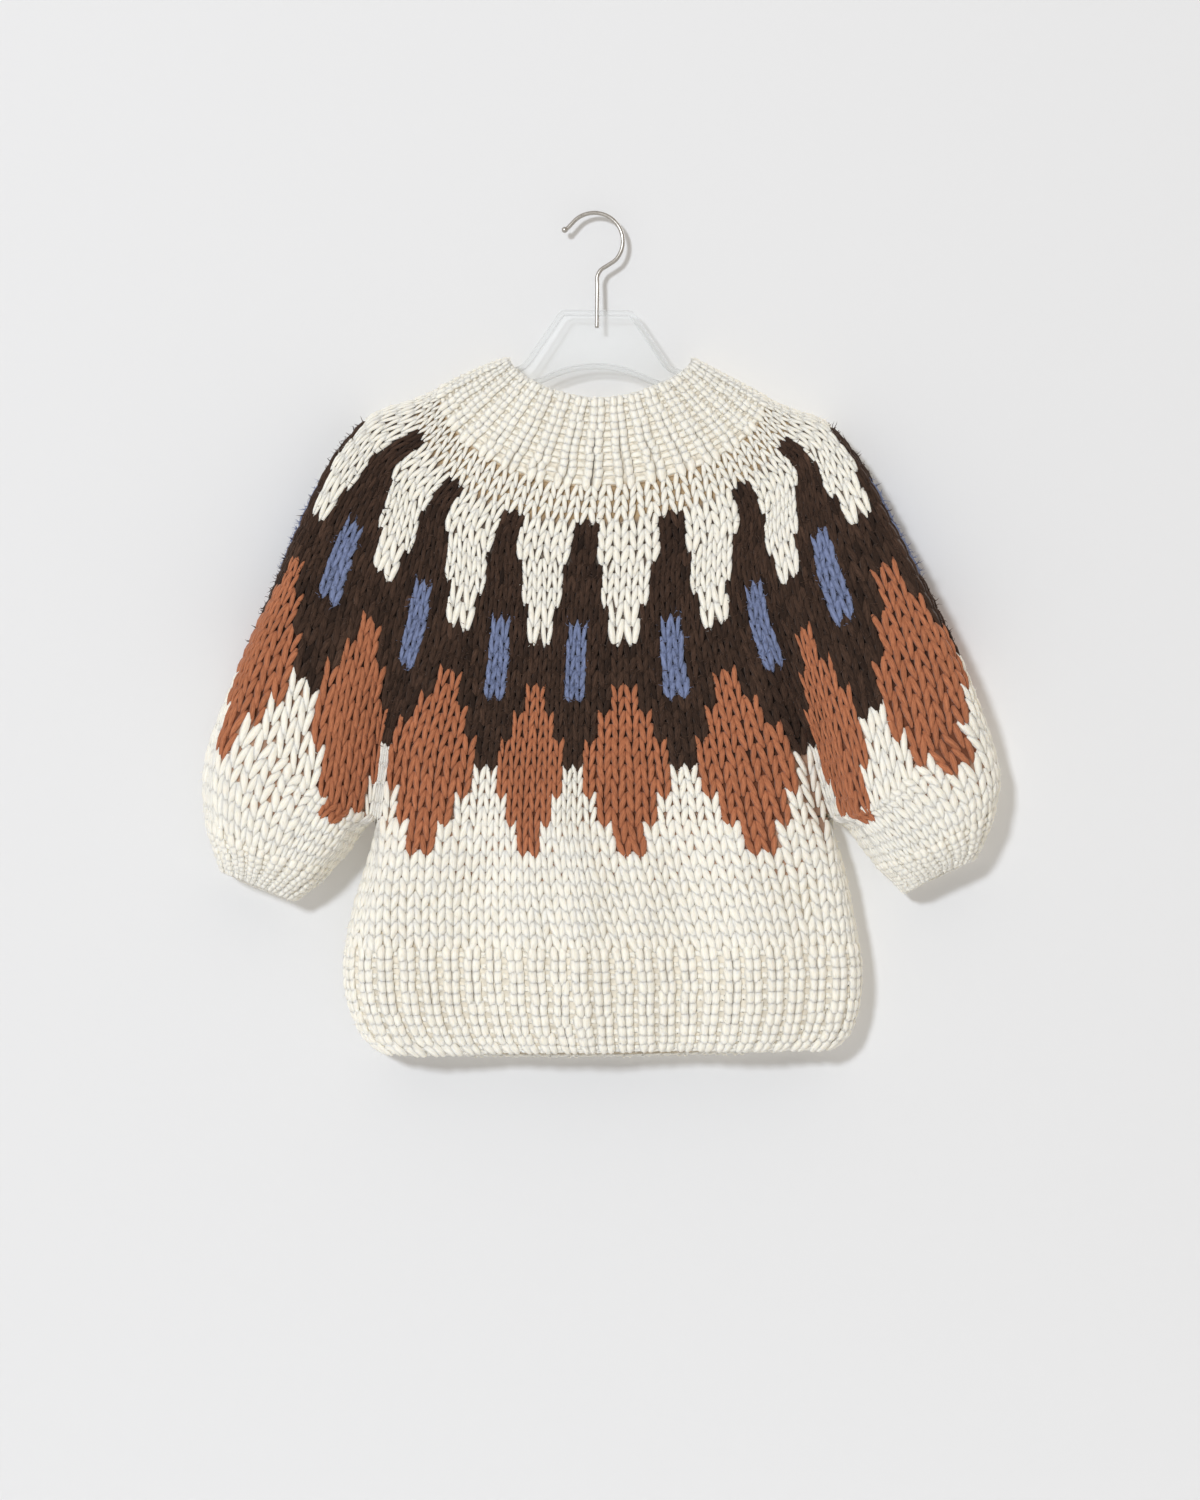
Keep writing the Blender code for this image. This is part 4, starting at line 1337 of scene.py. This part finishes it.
@dataclass
class Sweater:
    """The knitted pieces: their faces, their stitches and their yarns."""

    form: SweaterForm = field(default_factory=SweaterForm)
    chart: Chart = field(default_factory=Chart)
    seed: int = 20
    shoulder_columns: float = 1.7
    shoulder_rows: int = 6
    purl_overlap: float = 1.6
    body_rows: tuple[int, ...] = tuple(range(24, 34))
    sleeve_rows: tuple[int, ...] = tuple(range(24, 31))

    def __post_init__(self) -> None:
        """Makes the faces and the yarns once."""
        self.flat: dict[str, np.ndarray] = {}
        self.random = np.random.default_rng(self.seed)
        self.yoke_face = self.form.yoke()
        self.body_face = self.form.body()
        self.sleeve_faces = {
            "left": self.form.sleeve(-1.0, LEFT_SLEEVE_SECTIONS),
            "right": self.form.sleeve(1.0, RIGHT_SLEEVE_SECTIONS),
        }
        finishes = {
            Yarn.CREAM: YarnFinish("cream_wool", (0.80, 0.75, 0.635), (0.92, 0.88, 0.785)),
            Yarn.BROWN: YarnFinish("brown_mohair", (0.016, 0.0085, 0.0055), (0.062, 0.034, 0.022)),
            Yarn.RUST: YarnFinish("rust_wool", (0.27, 0.088, 0.038), (0.50, 0.19, 0.092), sheen=0.12),
            Yarn.BLUE: YarnFinish("blue_mohair", (0.115, 0.145, 0.25), (0.225, 0.265, 0.42), sheen=0.12),
        }
        finishes[Yarn.CREAM] = replace(finishes[Yarn.CREAM], bump=0.25, uneven=0.016, glow=0.5)
        brown_sheen = {"sheen": 0.16, "sheen_tint": (0.5, 0.38, 0.33)}
        finishes[Yarn.BROWN] = replace(finishes[Yarn.BROWN], uneven=0.22, **brown_sheen)
        self.yarns = {yarn: finish.make() for yarn, finish in finishes.items()}
        cream = YarnBuild(hair_length=(1.5 * MM, 5.5 * MM), hair_radius=0.26 * MM, wild=0.8)
        cream = replace(cream, plump=1.30, full=0.6, deep=0.58, arch=0.9 * MM)
        brown = YarnBuild(hair_length=(2.5 * MM, 9.5 * MM), hair_radius=0.42 * MM, bent=True, full=0.5)
        blue = replace(brown, hair_length=(2.0 * MM, 8.0 * MM), hair_radius=0.34 * MM)
        self.builds = {
            Yarn.CREAM: cream,
            Yarn.BROWN: replace(brown, hairs=3.8, wild=1.3, plump=1.22, deep=0.6),
            Yarn.RUST: YarnBuild(hairs=2.0, hair_length=(1.0 * MM, 3.2 * MM), hair_radius=0.20 * MM),
            Yarn.BLUE: replace(blue, hairs=14.0, wild=1.2, plump=1.1, deep=0.7),
        }
        self.teeth_build = replace(cream, plump=1.08, deep=0.7, arch=1.2 * MM)
        self.lining = LiningFinish().make()

    def at_shoulder(self, row: int, column: np.ndarray, yarn: np.ndarray) -> np.ndarray:
        """The yarns with the zigzag's topmost brown rows left cream on the shoulders' folded edges."""
        on_fold = np.abs(column % (2 * EDGE_COLUMN) - EDGE_COLUMN) < self.shoulder_columns
        return np.where(on_fold & (row < self.shoulder_rows), Yarn.CREAM.value, yarn)

    def yoke_stitches(self) -> StitchField:
        """Every stitch of the yoke, row by row, with the chart's yarns and widths."""
        fields = []
        for row in range(YOKE_STITCH_ROWS):
            edges = self.chart.edges(row)
            middle = 0.5 * (edges[1:] + edges[:-1])
            column = ((np.arange(REPEATS)[:, None] + middle) * REPEAT_COLUMNS).ravel()
            wide = np.tile(np.diff(edges) * REPEAT_COLUMNS, REPEATS)
            yarn = np.tile(self.chart.yarns(row, np.arange(len(middle))), REPEATS)
            yarn = self.at_shoulder(row, column, yarn)
            fields.append(StitchField.line(column, wide, *self.chart.line([row, row + 1]), yarn))
        return StitchField.joined(fields)

    def tube_stitches(self, columns: int, lines: np.ndarray) -> StitchField:
        """Every plain stitch of a tube: one to a column, cream in the underarms.

        Args:
            columns: The tube's columns once round.
            lines: The form's rows between its rows of stitches.

        Returns:
            The stitches.
        """
        column = np.arange(columns)
        gusset = 0.0 if columns == BODY_COLUMNS else 0.5 * columns
        turned = column + 0.5 - gusset + BODY_QUARTER
        from_gusset = np.abs(turned % (2 * BODY_QUARTER) - BODY_QUARTER)
        fields = []
        for step, (top, bottom) in enumerate(zip(lines[:-1], lines[1:])):
            yarn = self.chart.yarns(YOKE_STITCH_ROWS + step, repeat_index(column, columns))
            yarn = np.where(from_gusset < GUSSET_HALF, Yarn.CREAM.value, yarn)
            fields.append(StitchField.line(column + 0.5, 1.0, top, bottom, yarn))
        return StitchField.joined(fields)

    def inside_colours(
        self, columns: np.ndarray, rows: np.ndarray, round_columns: int, charted: bool
    ) -> np.ndarray:
        """The colours behind the stitches, with painted shade, for the outer face of a lining.

        Args:
            columns: The lining's columns.
            rows: Its rows.
            round_columns: The face's columns once round.
            charted: Whether the chart reaches it, or it is cream all over.

        Returns:
            A colour for each point, rows by columns by three.
        """
        colours = np.zeros((len(rows), len(columns), 3))
        for i, row in enumerate(rows):
            stitch_row = self.chart.stitch_row(row)
            if row < 0.0 or not charted:
                yarn = np.full(len(columns), Yarn.CREAM.value)
                stitch_row = PLAIN_ROW
            elif round_columns == YOKE_COLUMNS:
                edges = self.chart.edges(stitch_row)
                share = (columns / REPEAT_COLUMNS) % 1.0
                index = np.clip(np.searchsorted(edges, share, side="right") - 1, 0, len(edges) - 2)
                yarn = self.at_shoulder(stitch_row, columns, self.chart.yarns(stitch_row, index))
            else:
                yarn = self.chart.yarns(stitch_row, repeat_index(np.floor(columns), round_columns))
            for one in Yarn:
                colours[i, yarn == one.value] = backing_colour_with_painted_shade(one, stitch_row)
        return colours

    def sheet(
        self,
        name: str,
        node: str,
        face: ClothSurface,
        rows: tuple[float, float],
        slot: str,
        charted: bool = True,
    ) -> bpy.types.Object:
        """The thin cloth under the stitches: a closed wall that follows the solid's form.

        Args:
            name: The sheet's name.
            node: The solid that it stands for.
            face: The outer face that it lies under.
            rows: Its first and last row.
            slot: The record's material slot. It is not used.
            charted: Whether the colour chart reaches it.

        Returns:
            The sheet.
        """
        row = np.linspace(*rows, int(round((rows[1] - rows[0]) * LINING_FINE)) + 1)
        column = np.arange(face.columns * LINING_FINE) / LINING_FINE
        points, normals = face.place(column[None, :], row[:, None])
        self.flat[name] = points
        outer = points - normals * (DEEP_LINING if name == "yoke_cloth" else HIGH_LINING)
        inner = points - normals * WALL
        here = np.arange(points[..., 0].size).reshape(points.shape[:2])
        after = np.roll(here, -1, axis=1)
        quads = np.stack([here[:-1], here[1:], after[1:], after[:-1]], axis=-1).reshape(-1, 4)
        rims = [
            np.stack([one, two, two + here.size, one + here.size], axis=-1)
            for one, two in ((here[0], after[0]), (after[-1], here[-1]))
        ]
        faces = np.concatenate([quads, quads[:, ::-1] + here.size, *rims])
        if face.outward < 0.0:
            faces = faces[:, ::-1]
        # Painted shade: the lining's outer face takes the darkened colours behind the stitches, and its
        # inner face takes the darkened inside colour.
        tint = self.inside_colours(column, row, face.columns, charted)
        tint = np.stack([tint, np.broadcast_to(INSIDE_PAINTED_SHADE, tint.shape)]).reshape(-1, 3)
        place = np.stack(np.broadcast_arrays(column[None, :], row[:, None], 0.0), axis=-1).reshape(-1, 3)
        attributes = {"lining_colour_and_painted_shade": tint, "knit_place": np.concatenate([place, place])}
        everything = np.concatenate([outer, inner]).reshape(-1, 3)
        made = mesh_object(name, everything, [faces], self.lining, attributes)
        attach(made, BODY)
        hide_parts(node)
        return made

    def add(self, made: bpy.types.Object, slot: str, sheet: bpy.types.Object) -> None:
        """Sets a piece of yarn on the body and makes it part of its sheet."""
        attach(made, BODY)
        made["sheet"] = sheet.name
        LOG.info("%s: %d faces", made.name, len(made.data.polygons))

    def cloth(
        self, name: str, face: ClothSurface, rows: tuple[float, float], stitches: StitchField, slot: str
    ) -> None:
        """A stretch of plain knitting: its lining, and a piece of stitches for each yarn.

        Args:
            name: The name of the stretch and of its solid.
            face: The face that it lies on.
            rows: Its first and last row.
            stitches: Its stitches.
            slot: The record's material slot. It is not used.
        """
        sheet = self.sheet(f"{name}_cloth", name, face, rows, slot)
        for yarn in Yarn:
            chosen = stitches.where(stitches.yarn == yarn.value)
            if len(chosen.column):
                teeth = name == "yoke" and yarn is Yarn.CREAM
                build = self.teeth_build if teeth else self.builds[yarn]
                mesh = Knitter(face, build, self.random).plain(chosen)
                made = mesh.to_object(f"{name}_{yarn.name.lower()}_stitches", self.yarns[yarn])
                self.add(made, slot, sheet)

    def rib(self, name: str, node: str, face: ClothSurface, plan: RibPlan) -> None:
        """A knit 1, purl 1 rib: its lining, raised plain columns, low purl beads between, and a bound edge.

        Args:
            name: The rib's name.
            node: The solid that it stands for.
            face: The face that it lies on.
            plan: How many ribs and rows it has, and where it is bound.
        """
        slot = "cream_rib"
        charted = face is self.yoke_face
        sheet = self.sheet(f"{name}_cloth", node, face, (plan.first, plan.last), slot, charted)
        lines = np.linspace(plan.first, plan.last, plan.rows + 1)
        period = face.columns / plan.ribs
        knit = np.arange(plan.ribs) * period
        wide = period * plan.knit_share
        rows = zip(lines[:-1], lines[1:])
        plain = StitchField.joined([StitchField.line(knit, wide, top, bottom, 0.0) for top, bottom in rows])
        purl_wide = plain.wide / plan.knit_share * (1.0 - plan.knit_share) * self.purl_overlap
        purl = StitchField(plain.column + 0.5 * period, purl_wide, plain.top, plain.bottom, plain.yarn)
        knitter = Knitter(face, self.builds[Yarn.CREAM], self.random, top_spread=0.235, foot_spread=0.195)
        beads = Knitter(face, YarnBuild(rings=4, hairs=1.0, deep=0.62), self.random)
        bound = lines[-1] if plan.edge > 0.0 else lines[0]
        parts = [
            knitter.plain(plain, lift=0.4 * MM),
            beads.purl(purl, plan.bead),
            knitter.bound_edge(face.columns, plan.ribs * 2, bound, plan.edge),
        ]
        mesh = YarnMesh.joined(parts)
        self.add(mesh.to_object(f"{name}_stitches", self.yarns[Yarn.CREAM]), slot, sheet)

    def make(self) -> dict[str, np.ndarray]:
        """Knits the whole sweater.

        Returns:
            Each sheet's name and its face's points.
        """
        yoke, body = self.yoke_face, self.body_face
        self.rib("neckband", "neckband", yoke, NECK_PLAN)
        self.cloth("yoke", yoke, (0.0, UNDERARM_ROW), self.yoke_stitches(), "patterned_knit")
        stitches = self.tube_stitches(BODY_COLUMNS, self.chart.line(self.body_rows))
        self.cloth("body", body, (UNDERARM_ROW, HEM_TOP_ROW), stitches, "cream_knit")
        self.rib("hem", "hem_rib", body, HEM_PLAN)
        first, second, last = self.sleeve_rows[0], self.sleeve_rows[2], self.sleeve_rows[-1]
        known = (*self.chart.line([first, second]), CUFF_TOP_ROW)
        lines = np.interp(self.sleeve_rows, (first, second, last), known)
        stitches = self.tube_stitches(SLEEVE_COLUMNS, lines)
        for word, face in self.sleeve_faces.items():
            self.cloth(f"sleeve_{word}", face, (UNDERARM_ROW, CUFF_TOP_ROW), stitches, "cream_knit")
            self.rib(f"cuff_{word}", f"cuff_{word}", face, CUFF_PLAN)
        return self.flat


@dataclass
class Hanger:
    """The clear moulded hanger and its wire hook, which lean out at the foot and hang a little askew."""

    tilt: float = math.radians(3.9)
    roll: float = math.radians(0.55)
    half_thickness: float = 4.0 * MM
    panel_half: float = 1.1 * MM
    rim_width: float = 5.0 * MM
    squareness: float = 0.6
    corner_cut: float = 4.5 * MM
    half_outline: tuple[tuple[float, float], ...] = (
        (31.0, -83.0),
        (63.0, -131.0),
        (107.0, -145.2),
        (150.0, -166.3),
        (187.0, -183.2),
        (199.0, -193.0),
        (193.0, -203.0),
        (118.0, -170.0),
    )
    arch_foot: tuple[float, float] = (45.0, -146.0)
    arch_top: float = -134.0
    wire_radius: float = 1.8 * MM
    hook_radius: float = 24.6
    hook_centre_x: float = -3.0
    hook_free_angle: float = 128.0
    hook_throat_angle: float = -40.0
    free_end: tuple[tuple[float, float], ...] = ((-31.0, -14.3), (-26.8, -12.3), (-22.8, -8.2))
    stem: tuple[tuple[float, float], ...] = (
        (9.1, -43.6),
        (2.6, -48.2),
        (0.0, -53.5),
        (0.0, -61.0),
        (0.0, -98.0),
    )
    ball_radius: float = 2.7 * MM

    def posed(self, points: np.ndarray) -> np.ndarray:
        """Points turned as the hanger hangs: first about X by the tilt, then about Y by the roll."""
        x, y, z = points[..., 0], points[..., 1], points[..., 2]
        cos, sin = math.cos(-self.tilt), math.sin(-self.tilt)
        y, z = y * cos - z * sin, y * sin + z * cos
        cos, sin = math.cos(self.roll), math.sin(self.roll)
        return np.stack([x * cos + z * sin, y, z * cos - x * sin], axis=-1)

    def outline(self) -> np.ndarray:
        """The outline seen from the front, in metres, anticlockwise, rounded at its corners.

        The two arms mirror each other, and the arch under the neck is a parabola. Each
        corner is cut back along both its sides, with a point between on a smooth bend.
        """
        share = np.linspace(-1.0, 1.0, 17)
        foot_x, foot_z = self.arch_foot
        arch = np.stack([share * foot_x, foot_z + (self.arch_top - foot_z) * (1.0 - share**2)], axis=1)
        right = np.array(self.half_outline)
        left = right * (-1.0, 1.0)
        points = np.concatenate([left, arch, right[::-1]]) * MM
        before = np.roll(points, 1, axis=0) - points
        after = np.roll(points, -1, axis=0) - points
        shortest = np.minimum(np.linalg.norm(before, axis=1), np.linalg.norm(after, axis=1))
        cut = np.minimum(self.corner_cut, 0.35 * shortest)[:, None]
        enter, leave = points + unit(before) * cut, points + unit(after) * cut
        bend = 0.25 * enter + 0.5 * points + 0.25 * leave
        return np.stack([enter, bend, leave], axis=1).reshape(-1, 2)

    def inward(self, points: np.ndarray) -> tuple[np.ndarray, np.ndarray]:
        """The way in at each corner, square to its two sides' mean, and that mean's cosine to a side."""
        before = unit(points - np.roll(points, 1, axis=0))
        after = unit(np.roll(points, -1, axis=0) - points)
        mean = unit(before + after)
        return np.stack([-mean[:, 1], mean[:, 0]], axis=1), np.sum(mean * after, axis=1)

    def inset(self, points: np.ndarray, distance: float) -> np.ndarray:
        """The outline moved inwards, at its corners at most one and a half times as far."""
        inward, cosine = self.inward(points)
        return points + inward * (distance / np.clip(cosine, 0.67, 1.0))[:, None]

    def rim(self, material: bpy.types.Material) -> bpy.types.Object:
        """The raised edge all round: a bar along the outline, whose section is a superellipse."""
        middle = self.inset(self.outline(), 0.5 * self.rim_width)
        inward, _ = self.inward(middle)
        cos, sin = np.cos(circle(12)), np.sin(circle(12))
        across = np.sign(cos) * np.abs(cos) ** self.squareness * 0.5 * self.rim_width
        deep = np.sign(sin) * np.abs(sin) ** self.squareness * self.half_thickness
        flat = middle[:, None, :] + inward[:, None, :] * across[None, :, None]
        points = np.stack([flat[..., 0], np.broadcast_to(deep, flat.shape[:2]), flat[..., 1]], axis=-1)
        return bar("hanger_rim", self.posed(points), material, closed=True)

    def panel(self, material: bpy.types.Material) -> bpy.types.Object:
        """The thin web inside the rim: the inset outline, front and back, with a wall between."""
        inner = self.inset(self.outline(), 0.8 * self.rim_width)
        count = len(inner)
        front = np.stack([inner[:, 0], np.full(count, -self.panel_half), inner[:, 1]], axis=-1)
        here = np.arange(count)
        after = np.roll(here, -1)
        faces = [
            np.stack([here[::-1], here + count]),
            np.stack([here, here + count, after + count, after], axis=-1),
        ]
        points = self.posed(np.concatenate([front, front * (1.0, -1.0, 1.0)]))
        made = mesh_object("hanger_panel", points, faces, material, smooth=False)
        recalculate(made)
        return made

    def hook(self, material: bpy.types.Material) -> bpy.types.Object:
        """The wire hook: a round wire along a smooth path, swelling to a small ball at its free end.

        The path is an arc with a short curl at one end and the stem at the other, read
        as a smooth curve through those points.
        """
        angles = np.radians(np.linspace(self.hook_free_angle, self.hook_throat_angle, 14))
        centre_z = self.wire_radius / MM - self.hook_radius
        arc_x = self.hook_centre_x + self.hook_radius * np.cos(angles)
        arc = np.stack([arc_x, centre_z + self.hook_radius * np.sin(angles)], axis=1)
        route = np.concatenate([self.free_end, arc, self.stem]) * MM
        distance = distances(route)
        ball = self.ball_radius
        fine = np.concatenate([np.linspace(0.0, 2.2 * ball, 12), np.linspace(2.6 * ball, distance[-1], 110)])
        path = hermite(distance, route, fine)
        forward = unit(np.gradient(path, fine, axis=0))
        side = np.stack([-forward[:, 1], forward[:, 0]], axis=1)
        inside = np.clip(1.0 - ((fine - ball) / ball) ** 2, 0.0, 1.0)
        radius = ball * np.sqrt(inside)
        radius = np.where(fine < ball, radius, np.maximum(radius, self.wire_radius))
        radius[0] = 0.02 * MM
        turn = circle(14)
        flat = path[:, None, :] + side[:, None, :] * (np.cos(turn)[None, :, None] * radius[:, None, None])
        deep = np.sin(turn)[None, :] * radius[:, None]
        points = np.stack([flat[..., 0], deep, flat[..., 1]], axis=-1)
        return bar("wire_hook", self.posed(points), material, closed=False)

    def make(self) -> None:
        """Makes the hanger's pieces and sets them in place of its solids."""
        clear = ClearPlasticFinish("clear_plastic_rim", 0.14, 0.60, 0.08, 0.01).make()
        pale = (0.93, 0.93, 0.93)
        frosted = ClearPlasticFinish("clear_plastic_panel", 0.14, 0.42, 0.25, 0.05, pale).make()
        rim, panel, hook = self.rim(clear), self.panel(frosted), self.hook(SteelFinish().make())
        for made, slot in ((rim, "clear_plastic"), (panel, "clear_plastic"), (hook, "steel")):
            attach(made, BODY)
            LOG.info("%s: %d faces", made.name, len(made.data.polygons))
        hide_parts("hanger_body")
        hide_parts("hanger_hook")


def bar(name: str, points: np.ndarray, material: bpy.types.Material, closed: bool) -> bpy.types.Object:
    """A bar from rings of points.

    Args:
        name: The piece's name.
        points: The rings, as rings by corners by three.
        material: Its finish.
        closed: Whether the last ring joins the first, instead of both being capped.

    Returns:
        The object, with its faces outwards.
    """
    rings, count, _ = points.shape
    here = np.arange(rings * count).reshape(rings, count)
    first = here if closed else here[:-1]
    below = np.roll(here, -1, axis=0) if closed else here[1:]
    quads = np.stack([first, below, np.roll(below, -1, axis=1), np.roll(first, -1, axis=1)], axis=-1)
    faces = [quads.reshape(-1, 4)]
    if not closed:
        faces.append(np.stack([here[0], here[-1][::-1]]))
    made = mesh_object(name, points.reshape(-1, 3), faces, material)
    recalculate(made)
    return made


@dataclass
class Studio:
    """The pale wall panel and floor, the lights and the camera."""

    aim: Point = (0.0017, 0.0, -0.4601)
    distance: float = 2.8
    frame_height: float = 1.29
    sensor: float = 36.0
    wall_y: float = 12.5 * MM
    wall_half_width: float = 0.80
    wall_top: float = 0.34
    floor_z: float = -1.30
    floor_half_width: float = 6.0

    def wall(self) -> None:
        """Matt pale paint on the side that faces the sweater, and nothing behind or for shadows."""
        paint = Paint("wall_paint", {"Base Color": (0.72, 0.72, 0.72, 1.0), "Roughness": 0.95})
        paint.join(paint.shader, {"Specular IOR Level": 0.1})
        behind = paint.add("NewGeometry", {}).outputs["Backfacing"]
        shadow = paint.add("LightPath", {}).outputs["Is Shadow Ray"]
        hidden = paint.math("MAXIMUM", behind, shadow)
        paint.mix_surface(hidden, paint.shader, paint.add("BsdfTransparent", {}))
        wide, y, low, top = self.wall_half_width, self.wall_y, self.floor_z, self.wall_top
        corners = np.array([(-wide, y, low), (wide, y, low), (wide, y, top), (-wide, y, top)])
        mesh_object("wall", corners, [ONE_QUAD], paint.material, smooth=False)

    def floor(self) -> None:
        """A matt pale floor."""
        paint = Paint("floor_paint", {"Base Color": (0.80, 0.80, 0.80, 1.0), "Roughness": 0.9})
        wide, low = self.floor_half_width, self.floor_z
        corners = np.array([(-wide, -wide, low), (wide, -wide, low), (wide, wide, low), (-wide, wide, low)])
        mesh_object("floor", corners, [ONE_QUAD], paint.material, smooth=False)

    def lamp(self, name: str, place: Point, size: float, power: float, colour: Colour) -> None:
        """A square lamp that looks at the middle of the sweater."""
        lamp = bpy.data.lights.new(name, "AREA")
        lamp.shape = "SQUARE"
        lamp.size = size
        lamp.energy = power
        lamp.color = colour
        made = bpy.data.objects.new(name, lamp)
        made.location = place
        made.rotation_euler = (Vector(self.aim) - Vector(place)).to_track_quat("-Z", "Y").to_euler()
        bpy.context.scene.collection.objects.link(made)

    def camera(self) -> None:
        """A level camera whose frame is as high as stated at the sweater."""
        camera = bpy.data.cameras.new("camera")
        camera.sensor_width = self.sensor
        camera.lens = self.sensor * self.distance / self.frame_height
        made = bpy.data.objects.new("camera", camera)
        made.location = (self.aim[0], self.aim[1] - self.distance, self.aim[2])
        made.rotation_euler = (0.5 * math.pi, 0.0, 0.0)
        bpy.context.scene.collection.objects.link(made)
        bpy.context.scene.camera = made

    def make(self) -> None:
        """Sets the wall, floor, lights, surroundings and camera."""
        self.wall()
        self.floor()
        self.lamp("key", (-3.8, -9.4, 2.35), 1.15, 650.0, (0.87, 0.925, 1.0))
        self.lamp("rear_fill", (1.6, 3.0, 1.2), 1.6, 95.0, (1.0, 1.0, 1.0))
        world = bpy.data.worlds.new("surroundings")
        world.use_nodes = True
        sky = world.node_tree.nodes["Background"]
        sky.inputs["Color"].default_value = (1.0, 0.93, 0.845, 1.0)
        sky.inputs["Strength"].default_value = 0.585
        bpy.context.scene.world = world
        bpy.context.scene.view_settings.view_transform = "Standard"
        self.camera()


def clear_scene() -> None:
    """Removes what a new file starts with."""
    for item in list(bpy.data.objects):
        bpy.data.objects.remove(item, do_unlink=True)


def main() -> None:
    """Builds the sweater, its hanger and the studio."""
    logging.basicConfig(level=logging.INFO, format="%(message)s")
    clear_scene()
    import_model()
    sheets = Sweater().make()
    Hanger().make()
    Studio().make()


if __name__ == "__main__":
    main()
